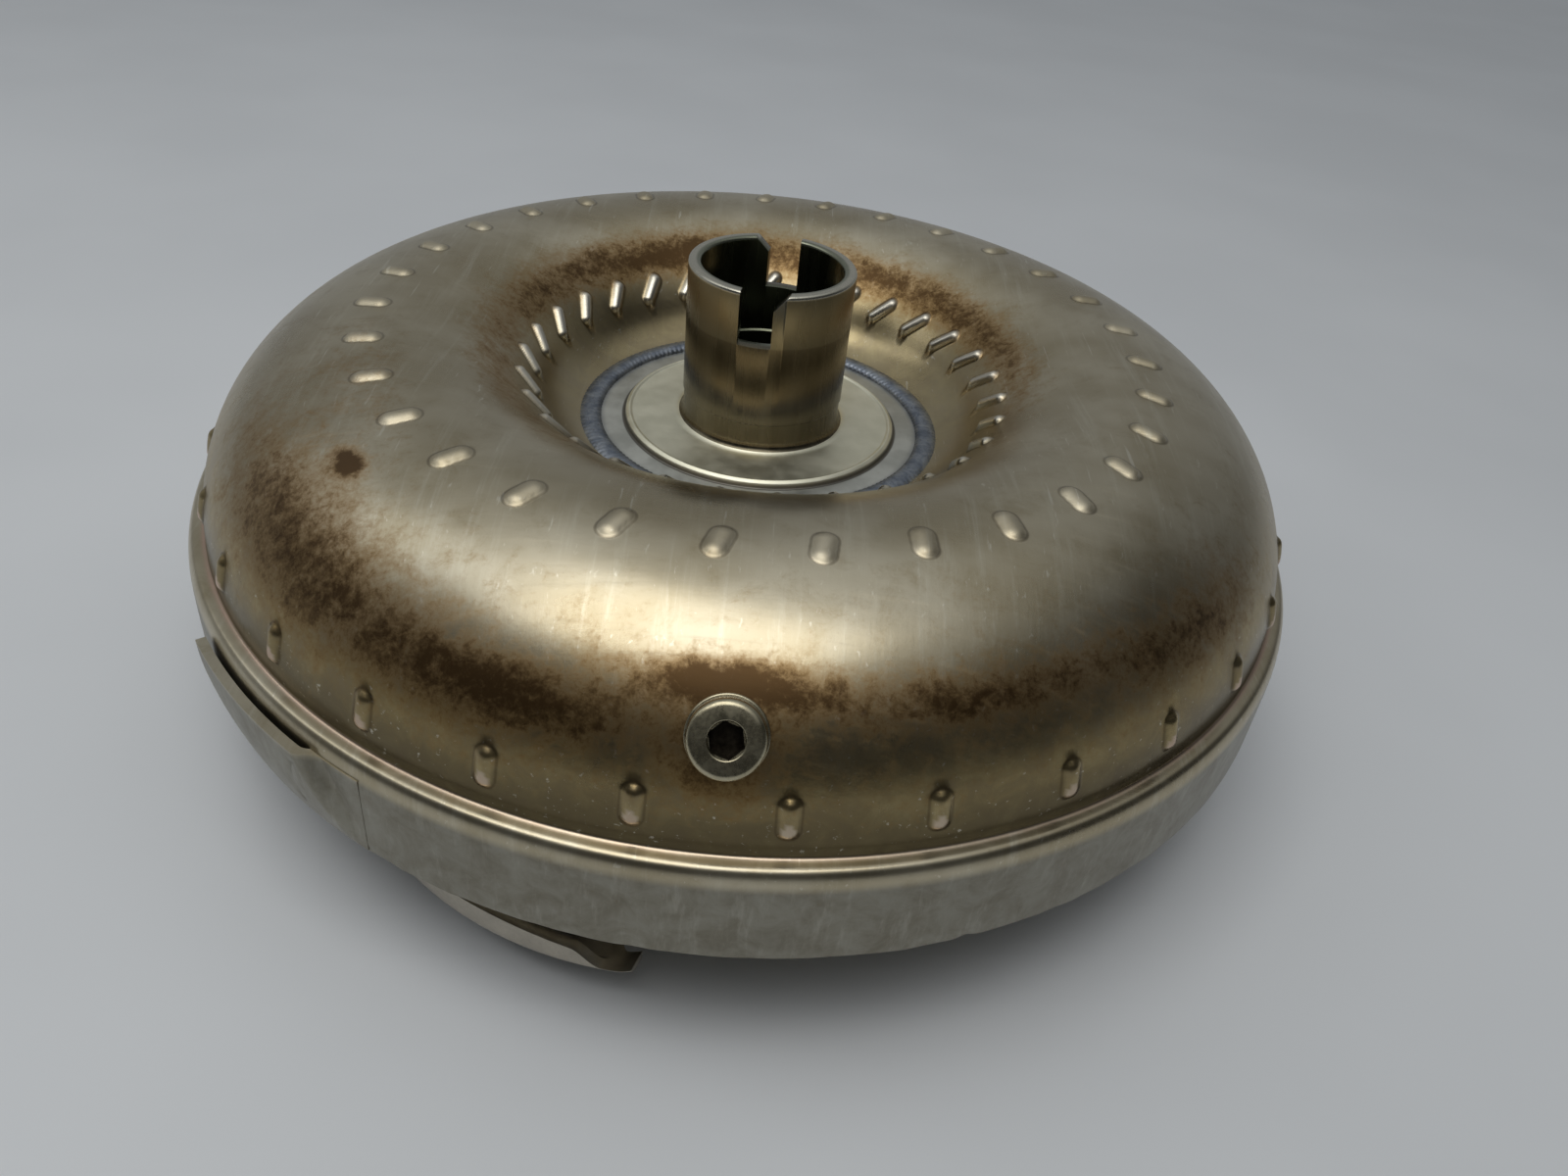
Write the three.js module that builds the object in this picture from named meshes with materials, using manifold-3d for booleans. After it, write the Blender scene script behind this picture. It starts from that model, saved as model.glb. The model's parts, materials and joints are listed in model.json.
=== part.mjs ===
// Torque converter of a passenger car: a welded housing (impeller half, front cover, pump hub,
// drive brackets) with a turbine, a stator on a one-way clutch and three thrust bearings inside.
// Millimetres, +Z up along the shaft axis. The origin is the centre of the crank pilot's end face.
import * as THREE from 'three';
import { mergeVertices } from 'three/addons/utils/BufferGeometryUtils.js';
import Module from 'manifold-3d';

const wasm = await Module();
wasm.setup();

// ---------------------------------------------------------------- driving dimensions
// Heights are measured from the rim's crease, where the impeller shell meets its lip.
const CREASE_HEIGHT = 53;       // crease above the pilot's end face
const FIT = 0.35;               // gap between two touching pieces
const TURN = 36;                // facets round the housing
const SPANS = 6;                // straight spans along each torus section
const BLADE_SPANS = 3;

const SHELL = { r: 91.8, out: 45.2, in: 41.1, high: 39.7, z: 0 };
const SHELL_SHEET = 2.6;
const BOWL_BORE = 43.2;         // edge of the hole that the hub's flange fills
const BOWL_FLOOR = 12.9;
const BOWL_FILLET = 15.7;       // concave radius between the bowl's floor and the torus
const BOWL_FILLET_TURN = 58;    // degrees that the fillet turns through
const SKIRT_LOW = -23.1;
const SKIRT_R = 142.1;          // outer radius at the skirt's sheared edge
const LIP_R = 141.65;           // outer radius under the lip's rounded shoulder

const IMPELLER_BLADES = 31;
const TURBINE_BLADES = 29;
const STATOR_BLADES = 17;
const BLADE_SHEET = 1.2;
const BLADE_GAP = 1.8;          // blades stay clear of the faceted torus walls
const BLADE_END = 157;          // degrees round the torus where both blade wheels stop
const CORE = { out: 16, in: 16, high: 14 };
const CORE_SHEET = 1.6;

const COVER = { r: 91, out: 47.7, in: 47.7, high: 31.8, z: -8 };
const COVER_SHEET = 2.8;
const COVER_DISC_R = 56;        // raised disc that carries the crank pilot
const COVER_DISC_STEP = 1.5;
const COVER_TOP = -3.4;

const TURBINE = { r: 91.3, out: 41, in: 38.5, high: 33, z: -1.5 };
const TURBINE_SHEET = 2;
const TURBINE_FLANGE = { inner: 38, low: -19.5 };
const TURBINE_HUB = { r: 22, low: -31, flangeR: 47, flangeTop: -13.1, flangeLow: -17.1 };
const TURBINE_SPLINE = { tip: 11.5, root: 12.6, teeth: 14 };
const RIVETS = { count: 6, circle: 42.6, shank: 2.2, head: 3.9 };

const HUB = { r: 20.8, bore: 17.6, top: 55.6, stepHeight: 21.9, stepR: 20.5, lowBore: 17 };
const HUB_BORE_STEP = 30;       // height where the bore narrows
const HUB_CHAMFER = 1;
const HUB_FLANGE = { r: 42.8, land: 35.3, landTop: 14.3, rimTop: 13, low: 9.3 };
const HUB_FILLET = 2.7;
const SLOT = { width: 8.2, depth: 13.2, azimuth: -98.5, leadIn: 3.4, leadInDepth: 3.8 };

const PLUG = { azimuth: -90.3, torusAngle: 33.7, head: 6.9, headHeight: 3.4, shank: 4 };
const PLUG_SOCKET = { acrossFlats: 5.8, depth: 4.6 };
const BUNG = { stem: 6.2, flange: 7.4, flangeHeight: 0.9, length: 8 };

const BRACKETS = 3;
const BRACKET = { azimuth: -109.5, low: -42, sheet: 2.3, wallTop: -33.8, innerR: 111.5 };
const BRACKET_WALL = { out: 136.5, slope: -0.095, curve: 80, half: 30.7 };
const DRIVE_NUT = { u: 13, v: 123.9, acrossFlats: 13, height: 4.6, thread: 3.4, clearance: 4.4 };

const LOUVER = { from: -142, to: -123, out: 144.7, sheet: 2, top: -3.5 };

const PILOT = { r: 19, neck: 17.6, neckHeight: 3.5, chamfer: 1.5 };

const CLUTCH = { rollers: 8, rollerR: 3.3, raceR: 24.5, pocketR: 3.75, bore: 29.4, out: 39.7 };
const CLUTCH_LOW = -5.4;
const CLUTCH_TOP = 3.4;
const STATOR_SPLINE = { tip: 15.6, root: 16.6, teeth: 16 };
const STATOR = { bore: 40.1, hub: 54.5, low: -9.5, top: 7.5, ring: 77.4, ringHalf: 4.2, lip: 36 };

// ---------------------------------------------------------------- shape helpers
const rad = THREE.MathUtils.degToRad;
const polar = (r, degrees) => [r * Math.cos(rad(degrees)), r * Math.sin(rad(degrees))];
const steps = (count) => Array.from({ length: count + 1 }, (_, i) => i / count);

function sixfoldVolume(positions, corners) {
  const [a, b, c] = [new THREE.Vector3(), new THREE.Vector3(), new THREE.Vector3()];
  let sum = 0;
  for (let i = 0; i < corners.length; i += 3) {
    a.fromArray(positions, 3 * corners[i]);
    b.fromArray(positions, 3 * corners[i + 1]);
    c.fromArray(positions, 3 * corners[i + 2]);
    sum += a.dot(b.cross(c));
  }
  return sum;
}

// Turns a closed geometry into a solid: shared corners merged, empty faces dropped, faces outward.
function solid(geometry) {
  geometry.deleteAttribute('normal');
  geometry.deleteAttribute('uv');
  const merged = mergeVertices(geometry, 1e-4);
  const positions = merged.attributes.position.array;
  const index = merged.index.array;
  const corners = [];
  for (let i = 0; i < index.length; i += 3) {
    const [a, b, c] = index.subarray(i, i + 3);
    if (a !== b && b !== c && c !== a) corners.push(a, b, c);
  }
  if (sixfoldVolume(positions, corners) < 0) corners.reverse();
  return new wasm.Manifold(new wasm.Mesh({
    numProp: 3,
    vertProperties: new Float32Array(positions),
    triVerts: new Uint32Array(corners),
  }));
}

// A closed [radius, height] profile spun about Z.
function spun(profile, segments = TURN) {
  const points = profile.map(([r, z]) => new THREE.Vector2(r, z));
  points.push(points[0].clone());
  const geometry = new THREE.LatheGeometry(points, segments);
  geometry.rotateX(Math.PI / 2);
  return solid(geometry);
}

// An [x, y] outline raised from low to top.
function prism(outline, low, top) {
  const shape = new THREE.Shape(outline.map(([x, y]) => new THREE.Vector2(x, y)));
  const geometry = new THREE.ExtrudeGeometry(shape, { depth: top - low, bevelEnabled: false });
  geometry.translate(0, 0, low);
  return solid(geometry);
}

function sector(inner, outer, from, to, low, top, count = 8) {
  const outside = steps(count).map((s) => polar(outer, from + s * (to - from)));
  const inside = steps(count).map((s) => polar(inner, to + s * (from - to)));
  return prism([...outside, ...inside], low, top);
}

// A round or many-sided bar along Z.
function bar(r, low, top, sides = 16, centre = [0, 0], turn = 0) {
  const geometry = new THREE.CylinderGeometry(r, r, top - low, sides);
  geometry.rotateX(Math.PI / 2);
  geometry.rotateZ(turn);
  geometry.translate(centre[0], centre[1], (low + top) / 2);
  return solid(geometry);
}

// Skins a row of sections, each a loop of the same number of points, and caps both ends.
function lofted(sections) {
  const size = sections[0].length;
  const positions = sections.flat().flatMap((p) => p.toArray());
  const index = [];
  const last = (sections.length - 1) * size;
  for (let s = 0; s < sections.length - 1; s += 1) {
    for (let i = 0; i < size; i += 1) {
      const a = s * size + i;
      const b = s * size + ((i + 1) % size);
      index.push(a, b, b + size, a, b + size, a + size);
    }
  }
  for (let i = 1; i < size - 1; i += 1) {
    index.push(0, i + 1, i, last, last + i, last + i + 1);
  }
  const geometry = new THREE.BufferGeometry();
  geometry.setAttribute('position', new THREE.Float32BufferAttribute(positions, 3));
  geometry.setIndex(index);
  return solid(geometry);
}

const moved = (body, matrix) => body.transform(matrix.elements);
const turned = (body, degrees) => moved(body, new THREE.Matrix4().makeRotationZ(rad(degrees)));

// A point on a torus section: angle 0 is its outer equator, 90 its crown, 180 its inner equator.
function onTorus(form, angle, grow = 0, side = 1) {
  const reach = (Math.cos(rad(angle)) > 0 ? form.out : form.in) + grow;
  const x = form.r + reach * Math.cos(rad(angle));
  return [x, form.z + side * (form.high + grow) * Math.sin(rad(angle))];
}

const torusPath = (form, from, to, count, grow = 0, side = 1) =>
  steps(count).map((s) => onTorus(form, from + s * (to - from), grow, side));

const bowlPath = (radius, from, to, count) =>
  steps(count).map((s) => {
    const angle = rad(from + s * (to - from));
    const centre = BOWL_FLOOR + BOWL_FILLET;
    return [BOWL_BORE + radius * Math.sin(angle), centre - radius * Math.cos(angle)];
  });

function splineOutline({ tip, root, teeth }) {
  const pitch = 360 / teeth;
  return Array.from({ length: teeth }, (_, i) => [
    polar(tip, (i - 0.22) * pitch),
    polar(tip, (i + 0.22) * pitch),
    polar(root, (i + 0.32) * pitch),
    polar(root, (i + 0.68) * pitch),
  ]).flat();
}

// ---------------------------------------------------------------- the scene graph
const converter = new THREE.Group();
const body = new THREE.Group();
body.position.z = CREASE_HEIGHT;
converter.add(body);

function add(name, shape, look, parent = body) {
  const { vertProperties, triVerts } = shape.getMesh();
  const geometry = new THREE.BufferGeometry();
  geometry.setAttribute('position', new THREE.BufferAttribute(vertProperties, 3));
  geometry.setIndex(new THREE.BufferAttribute(triVerts, 1));
  geometry.computeVertexNormals();
  const mesh = new THREE.Mesh(geometry, new THREE.MeshStandardMaterial(look));
  mesh.name = name;
  parent.add(mesh);
}

const VARNISHED = { color: 0x8c8369, roughness: 0.38, metalness: 0.9 };
const GROUND = { color: 0x6f6a5c, roughness: 0.25, metalness: 1 };
const WELD = { color: 0x596170, roughness: 0.5, metalness: 0.9 };
const PRESSED = { color: 0x9a968c, roughness: 0.42, metalness: 0.9 };
const CAST = { color: 0xb4b6b8, roughness: 0.55, metalness: 0.8 };
const HARDENED = { color: 0x84868a, roughness: 0.2, metalness: 1 };

// ---------------------------------------------------------------- impeller shell
function shellSheet() {
  const meetsTorus = 180 - 30.8;
  const outside = [
    ...bowlPath(BOWL_FILLET, 0, BOWL_FILLET_TURN, 2),
    ...torusPath(SHELL, meetsTorus - 8, 3, SPANS + 1),
    [137.2, 0.3],
    [139.3, -0.15],
    [140.8, -1.2],
    [LIP_R, -5],
    [SKIRT_R, SKIRT_LOW],
  ];
  const inside = [
    [SKIRT_R - SHELL_SHEET, SKIRT_LOW],
    [LIP_R - SHELL_SHEET, -5.2],
    [138.4, -3.3],
    [135.4, -2.5],
    ...torusPath(SHELL, 2, meetsTorus - 8, SPANS, -SHELL_SHEET),
    ...bowlPath(BOWL_FILLET + SHELL_SHEET, BOWL_FILLET_TURN, 0, 2),
  ];
  return spun([...outside, ...inside]);
}

function louver() {
  const low = SKIRT_LOW;
  const { from, to, out, sheet, top } = LOUVER;
  const panel = sector(out - sheet, out, from, to, low, top);
  const foot = sector(SKIRT_R - 1.5, out, from, to, low, low + 2.5);
  const joggle = sector(SKIRT_R - 1.5, out, to - 1.5, to, low, top - 4, 2);
  return panel.add(foot).add(joggle);
}

const plugFrame = () => {
  const { torusAngle } = PLUG;
  const [r, z] = onTorus(SHELL, torusAngle);
  const [run, climb] = [Math.cos(rad(torusAngle)) / SHELL.out, Math.sin(rad(torusAngle)) / SHELL.high];
  const rise = Math.atan2(climb, run);
  const place = new THREE.Matrix4().makeRotationZ(rad(PLUG.azimuth));
  place.multiply(new THREE.Matrix4().makeTranslation(r, 0, z));
  return place.multiply(new THREE.Matrix4().makeRotationY(Math.PI / 2 - rise));
};

function impellerShell() {
  const shell = shellSheet().add(louver());
  return shell.subtract(moved(bar(BUNG.stem + FIT, -12, 6), plugFrame()));
}

add('impeller_shell', impellerShell(), VARNISHED);

// ---------------------------------------------------------------- blade wheels
// One thin blade between the core ring and the torus wall. Its azimuth follows the given sweep.
function blade(form, wallGrow, side, sweep) {
  const core = { ...CORE, r: form.r, z: form.z };
  const sections = steps(BLADE_SPANS).map((s) => {
    const angle = 4 + s * (BLADE_END - 4);
    const [coreR, coreZ] = onTorus(core, angle, 0, side);
    const [wallR, wallZ] = onTorus(form, angle, wallGrow, side);
    const corner = (r, z, half) => {
      const [x, y] = polar(r, sweep(s));
      const across = polar(half, sweep(s) + 90);
      return new THREE.Vector3(x + across[0], y + across[1], z);
    };
    const half = BLADE_SHEET / 2;
    return [corner(coreR, coreZ, -half), corner(coreR, coreZ, half),
      corner(wallR, wallZ, half), corner(wallR, wallZ, -half)];
  });
  return lofted(sections);
}

function bladeWheel(form, wallGrow, side, count, sweep) {
  const core = { ...CORE, r: form.r, z: form.z };
  const half = CORE_SHEET / 2;
  const ringProfile = [
    ...torusPath(core, 3, BLADE_END + 1, BLADE_SPANS, half, side),
    ...torusPath(core, BLADE_END + 1, 3, BLADE_SPANS, -half, side),
  ];
  const one = blade(form, wallGrow, side, sweep);
  let wheel = spun(ringProfile, count);
  for (let i = 0; i < count; i += 1) {
    wheel = wheel.add(turned(one, i * 360 / count));
  }
  return wheel;
}

// From the outer rim (0) to the inner end (1) the impeller blades bow forwards by a few degrees.
const impellerSweep = (s) => 7.7 + 9.2 * s - 7.3 * s * s;
const turbineSweep = (s) => -14 * s * s + 4 * s;
const impellerWall = -(SHELL_SHEET + BLADE_GAP);
const turbineWall = -(TURBINE_SHEET + BLADE_GAP);
add('impeller_blade_wheel', bladeWheel(SHELL, impellerWall, 1, IMPELLER_BLADES, impellerSweep), PRESSED);

// ---------------------------------------------------------------- pump hub
function pumpHub() {
  const { r, bore, top, stepHeight, stepR, lowBore } = HUB;
  const flange = HUB_FLANGE;
  const fillet = steps(3).map((s) => {
    const angle = rad(180 + 90 * s);
    const centre = [stepR + HUB_FILLET, flange.landTop + HUB_FILLET];
    return [centre[0] + HUB_FILLET * Math.cos(angle), centre[1] + HUB_FILLET * Math.sin(angle)];
  });
  const tube = spun([
    [lowBore, flange.low],
    [lowBore, HUB_BORE_STEP],
    [bore, HUB_BORE_STEP],
    [bore, top - HUB_CHAMFER],
    [bore + HUB_CHAMFER, top],
    [r - HUB_CHAMFER, top],
    [r, top - HUB_CHAMFER],
    [r, stepHeight],
    [stepR, stepHeight - 0.3],
    ...fillet,
    [flange.land - 0.8, flange.landTop],
    [flange.land, flange.rimTop],
    [flange.r, flange.rimTop],
    [flange.r, flange.low + 1.5],
    [flange.r - 1.5, flange.low],
  ], 32);
  const half = SLOT.width / 2;
  const cut = prism([[-half, 0], [half, 0], [half, r + 2], [-half, r + 2]], top - SLOT.depth, top + 1);
  const leadIn = new THREE.Shape([
    new THREE.Vector2(0, 1),
    new THREE.Vector2(-half - SLOT.leadIn, 1),
    new THREE.Vector2(-half - SLOT.leadIn, 0),
    new THREE.Vector2(-half, -SLOT.leadInDepth),
    new THREE.Vector2(0, -SLOT.leadInDepth),
  ]);
  const wedgeGeometry = new THREE.ExtrudeGeometry(leadIn, { depth: r + 2, bevelEnabled: false });
  wedgeGeometry.rotateX(Math.PI / 2);
  wedgeGeometry.rotateZ(Math.PI);
  wedgeGeometry.translate(0, 0, top);
  const slot = cut.add(solid(wedgeGeometry));
  return tube.subtract(turned(slot, SLOT.azimuth - 90)).subtract(turned(slot, SLOT.azimuth + 90));
}

add('pump_hub', pumpHub(), GROUND);

// The hub's flange and the shell are joined by one round bead.
const hubBead = [
  [BOWL_BORE - 1.1, HUB_FLANGE.rimTop + FIT],
  [BOWL_BORE + 3.6, BOWL_FLOOR + 0.95],
  [BOWL_BORE + 3.2, BOWL_FLOOR + 1.5],
  [BOWL_BORE - 0.4, BOWL_FLOOR + 1.4],
];
add('hub_weld_bead', spun(hubBead), WELD);

// ---------------------------------------------------------------- drain plug
const plugHub = new THREE.Group();
plugHub.applyMatrix4(plugFrame());
body.add(plugHub);

const bungTop = 0.4 + BUNG.flangeHeight;
add('drain_plug_bung', spun([
  [PLUG.shank + FIT, -BUNG.length + 1.4],
  [BUNG.stem, -BUNG.length + 1.4],
  [BUNG.stem, 0.4],
  [BUNG.flange, 0.4],
  [BUNG.flange, bungTop - 0.3],
  [BUNG.flange - 0.4, bungTop],
  [PLUG.shank + FIT, bungTop],
], 24), PRESSED, plugHub);

const washerTop = bungTop + 0.3 + 1;
add('drain_plug_washer', spun([
  [PLUG.shank + FIT, bungTop + 0.3],
  [BUNG.flange - 0.5, bungTop + 0.3],
  [BUNG.flange - 0.5, washerTop],
  [PLUG.shank + FIT, washerTop],
], 24), PRESSED, plugHub);

function drainPlug() {
  const seat = washerTop + 0.3;
  const top = seat + PLUG.headHeight;
  const plug = spun([
    [0, -BUNG.length + 2],
    [PLUG.shank - 0.8, -BUNG.length + 2],
    [PLUG.shank, -BUNG.length + 3],
    [PLUG.shank, seat],
    [PLUG.head, seat],
    [PLUG.head, top - 1.3],
    [PLUG.head - 0.5, top - 0.4],
    [PLUG.head - 1.6, top],
    [0, top],
  ], 24);
  const corner = PLUG_SOCKET.acrossFlats / 2 / Math.cos(Math.PI / 6);
  return plug.subtract(bar(corner, top - PLUG_SOCKET.depth, top + 1, 6));
}

add('drain_plug', drainPlug(), PRESSED, plugHub);

// ---------------------------------------------------------------- front cover and crank pilot
function frontCover() {
  const bottom = COVER.z - COVER.high;
  const discLow = bottom + COVER_DISC_STEP;
  const wallR = COVER.r + COVER.out;
  return spun([
    [0, discLow],
    [COVER_DISC_R, discLow],
    [COVER_DISC_R + 4, bottom],
    ...torusPath(COVER, 90, 0, SPANS, 0, -1),
    [wallR, COVER_TOP - 2],
    [wallR - 1.4, COVER_TOP],
    [wallR - COVER_SHEET, COVER_TOP],
    ...torusPath(COVER, 0, 90, SPANS, -COVER_SHEET, -1),
    [COVER_DISC_R + 4.8, bottom + COVER_SHEET],
    [COVER_DISC_R + 0.8, discLow + COVER_SHEET],
    [0, discLow + COVER_SHEET],
  ]);
}

add('front_cover', frontCover(), VARNISHED);

// The weld that closes the housing fills the corner between the cover and the skirt.
add('rim_weld_bead', spun([
  [138.9, -14.5],
  [139, -19.5],
  [136.6, -18.9],
  [138.15, -14.5],
]), WELD);

const pilotTop = COVER.z - COVER.high + COVER_DISC_STEP - FIT;
add('crank_pilot', spun([
  [0, -CREASE_HEIGHT],
  [PILOT.r - PILOT.chamfer, -CREASE_HEIGHT],
  [PILOT.r, -CREASE_HEIGHT + PILOT.chamfer],
  [PILOT.r, pilotTop - PILOT.neckHeight],
  [PILOT.neck, pilotTop - PILOT.neckHeight + 1],
  [PILOT.neck, pilotTop],
  [0, pilotTop],
], 40), HARDENED);

add('pilot_weld_bead', spun([
  [PILOT.neck + FIT, pilotTop - 1.9],
  [PILOT.neck + FIT + 2.4, pilotTop],
  [PILOT.neck + FIT, pilotTop],
], 40), WELD);

// ---------------------------------------------------------------- drive brackets
// A bracket is drawn with u along the rim and v outwards, then turned to its place.
function bracketEdge(u, inset = 0) {
  const { out, slope, curve } = BRACKET_WALL;
  return out - inset + slope * u - u * u / (2 * curve);
}

function bracketStrip(from, to, inset, low, top) {
  const outer = steps(6).map((s) => from + s * (to - from)).map((u) => [u, bracketEdge(u)]);
  const inner = [...outer].reverse().map(([u]) => [u, bracketEdge(u, inset)]);
  return prism([...outer, ...inner], low, top);
}

function driveBracket() {
  const { low, sheet, wallTop, innerR } = BRACKET;
  const { half } = BRACKET_WALL;
  const plateHalf = half - 4;
  const outer = steps(6).map((s) => plateHalf * (1 - 2 * s)).map((u) => [u, bracketEdge(u)]);
  const reach = THREE.MathUtils.radToDeg(Math.asin((plateHalf - 8) / innerR));
  const inner = steps(6).map((s) => polar(innerR, 90 + reach * (1 - 2 * s)));
  const plate = prism([...outer, ...inner], low, low + sheet);
  const rail = bracketStrip(-half, half, sheet, low, low + sheet);
  const wall = bracketStrip(-half + 12, half - 12, sheet, low, wallTop);
  const shoulders = bracketStrip(-half + 9, half - 9, sheet, low, wallTop - 4);
  let bracket = plate.add(rail).add(wall).add(shoulders);
  for (const side of [-1, 1]) {
    const hole = [side * DRIVE_NUT.u, DRIVE_NUT.v];
    bracket = bracket.subtract(bar(DRIVE_NUT.clearance, low - 1, low + sheet + 1, 10, hole));
  }
  return bracket;
}

function driveNut(side) {
  const low = BRACKET.low + BRACKET.sheet + FIT;
  const top = low + DRIVE_NUT.height;
  const corner = DRIVE_NUT.acrossFlats / 2 / Math.cos(Math.PI / 6);
  const centre = [side * DRIVE_NUT.u, DRIVE_NUT.v];
  return bar(corner, low, top, 6, centre).subtract(bar(DRIVE_NUT.thread, low - 1, top + 1, 10, centre));
}

for (let i = 0; i < BRACKETS; i += 1) {
  const mount = new THREE.Group();
  mount.rotation.z = rad(BRACKET.azimuth - 90 + i * 360 / BRACKETS);
  body.add(mount);
  add(`drive_bracket_${i + 1}`, driveBracket(), PRESSED, mount);
  add(`drive_nut_${2 * i + 1}`, driveNut(-1), HARDENED, mount);
  add(`drive_nut_${2 * i + 2}`, driveNut(1), HARDENED, mount);
  const bead = sector(108.4, BRACKET.innerR - FIT, 81, 99, BRACKET.low + 0.6, -38.3, 6);
  add(`bracket_weld_${i + 1}`, bead, WELD, mount);
}

// ---------------------------------------------------------------- turbine
const turbineSheet = spun([
  [TURBINE_FLANGE.inner, TURBINE_FLANGE.low],
  [55, TURBINE_FLANGE.low],
  ...torusPath(TURBINE, 146, 0, SPANS, 0, -1),
  ...torusPath(TURBINE, 0, 149, SPANS, -TURBINE_SHEET, -1),
  [TURBINE_FLANGE.inner, TURBINE_FLANGE.low + TURBINE_SHEET],
], 36);

const rivetPlaces = Array.from({ length: RIVETS.count }, (_, i) => i * 360 / RIVETS.count);
const rivetHole = (angle) => bar(RIVETS.shank + FIT, -25, -8, 10, polar(RIVETS.circle, angle));
const rivetHoles = (blank) => rivetPlaces.reduce((rest, angle) => rest.subtract(rivetHole(angle)), blank);

add('turbine_shell', rivetHoles(turbineSheet), PRESSED);
add('turbine_blade_wheel', bladeWheel(TURBINE, turbineWall, -1, TURBINE_BLADES, turbineSweep), PRESSED);

const turbineHub = spun([
  [8, TURBINE_HUB.low],
  [TURBINE_HUB.r - 1, TURBINE_HUB.low],
  [TURBINE_HUB.r, TURBINE_HUB.low + 1],
  [TURBINE_HUB.r, TURBINE_HUB.flangeLow],
  [TURBINE_HUB.flangeR, TURBINE_HUB.flangeLow],
  [TURBINE_HUB.flangeR, TURBINE_HUB.flangeTop],
  [8, TURBINE_HUB.flangeTop],
], 36);
const turbineSplined = turbineHub.subtract(prism(splineOutline(TURBINE_SPLINE), -40, 0));
add('turbine_hub', rivetHoles(turbineSplined), HARDENED);

const rivetProfile = [
  [0, TURBINE_FLANGE.low - FIT - 1.4],
  [RIVETS.head, TURBINE_FLANGE.low - FIT],
  [RIVETS.shank, TURBINE_FLANGE.low - FIT],
  [RIVETS.shank, TURBINE_HUB.flangeTop + FIT],
  [RIVETS.head, TURBINE_HUB.flangeTop + FIT],
  [0, TURBINE_HUB.flangeTop + FIT + 1.2],
];
rivetPlaces.forEach((angle, i) => {
  const place = new THREE.Matrix4().makeTranslation(...polar(RIVETS.circle, angle), 0);
  add(`turbine_rivet_${i + 1}`, moved(spun(rivetProfile, 8), place), PRESSED);
});

// ---------------------------------------------------------------- stator and one-way clutch
function statorWheel() {
  const { bore, hub, low, top, ring, ringHalf, lip } = STATOR;
  let wheel = spun([
    [lip, low],
    [hub - 2, low],
    [hub, low + 1.5],
    [hub, top - 1],
    [hub - 1, top],
    [bore, top],
    [bore, 6.9],
    [bore + 0.9, 6.9],
    [bore + 0.9, 5.4],
    [bore, 5.4],
    [bore, low + 1.9],
    [lip, low + 1.9],
  ], 34);
  wheel = wheel.add(spun([
    [ring - 1.8, -ringHalf],
    [ring, -ringHalf],
    [ring, ringHalf],
    [ring - 1.8, ringHalf],
  ], 34));
  const vane = new THREE.Shape([[-6, -9], [-3.6, -9.2], [1.8, -2], [5.2, 9], [-2.4, -1.4]]
    .map(([x, y]) => new THREE.Vector2(x, y)));
  const vaneGeometry = new THREE.ExtrudeGeometry(vane, { depth: ring - hub + 0.8, bevelEnabled: false });
  vaneGeometry.rotateX(Math.PI / 2);
  vaneGeometry.rotateZ(Math.PI);
  vaneGeometry.translate(0, hub - 1.2, 0);
  const passage = spun([
    [hub - 2, -8],
    [hub + 1, -8],
    [ring - 0.6, -3.9],
    [ring - 0.6, 3.9],
    [hub + 1, 6.4],
    [hub - 2, 6.4],
  ], 34);
  const oneVane = solid(vaneGeometry).intersect(passage);
  for (let i = 0; i < STATOR_BLADES; i += 1) {
    wheel = wheel.add(turned(oneVane, i * 360 / STATOR_BLADES));
  }
  return wheel;
}

add('stator_wheel', statorWheel(), CAST);

const rollerCircle = CLUTCH.raceR + FIT + CLUTCH.rollerR;
const rollerPlaces = Array.from({ length: CLUTCH.rollers }, (_, i) => i * 360 / CLUTCH.rollers);

function clutchOuterRace() {
  let race = spun([
    [CLUTCH.bore, CLUTCH_LOW],
    [CLUTCH.out, CLUTCH_LOW],
    [CLUTCH.out, CLUTCH_TOP],
    [CLUTCH.bore, CLUTCH_TOP],
  ], 32);
  for (const angle of rollerPlaces) {
    const pocket = bar(CLUTCH.pocketR, CLUTCH_LOW - 1, CLUTCH_TOP + 1, 10, polar(rollerCircle, angle));
    const [seatInner, seatOuter] = [CLUTCH.bore - 3, CLUTCH.bore + 1.4];
    const springSeat = sector(seatInner, seatOuter, angle, angle + 19, CLUTCH_LOW - 1, CLUTCH_TOP + 1, 2);
    race = race.subtract(pocket.add(springSeat));
  }
  return race;
}

add('clutch_outer_race', clutchOuterRace(), HARDENED);

// A folded leaf spring pushes each roller up its ramp.
const springFold = [
  [0, 0], [1.2, 4], [2.4, 0], [3.6, 4], [4, 4], [2.6, -0.8], [2.2, -0.8], [1.2, 2.8], [0.3, -0.6],
];
rollerPlaces.forEach((angle, i) => {
  const [x, y] = polar(rollerCircle, angle);
  const roller = bar(CLUTCH.rollerR, CLUTCH_LOW + 0.3, CLUTCH_TOP - 0.3, 12, [x, y]);
  add(`clutch_roller_${i + 1}`, roller, HARDENED);
  const fold = prism(springFold, CLUTCH_LOW + 1.5, CLUTCH_TOP - 1.5);
  const place = new THREE.Matrix4().makeRotationZ(rad(angle + 9.3));
  place.multiply(new THREE.Matrix4().makeTranslation(26.1, 0.1, 0));
  add(`clutch_spring_${i + 1}`, moved(fold, place), PRESSED);
});

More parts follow.
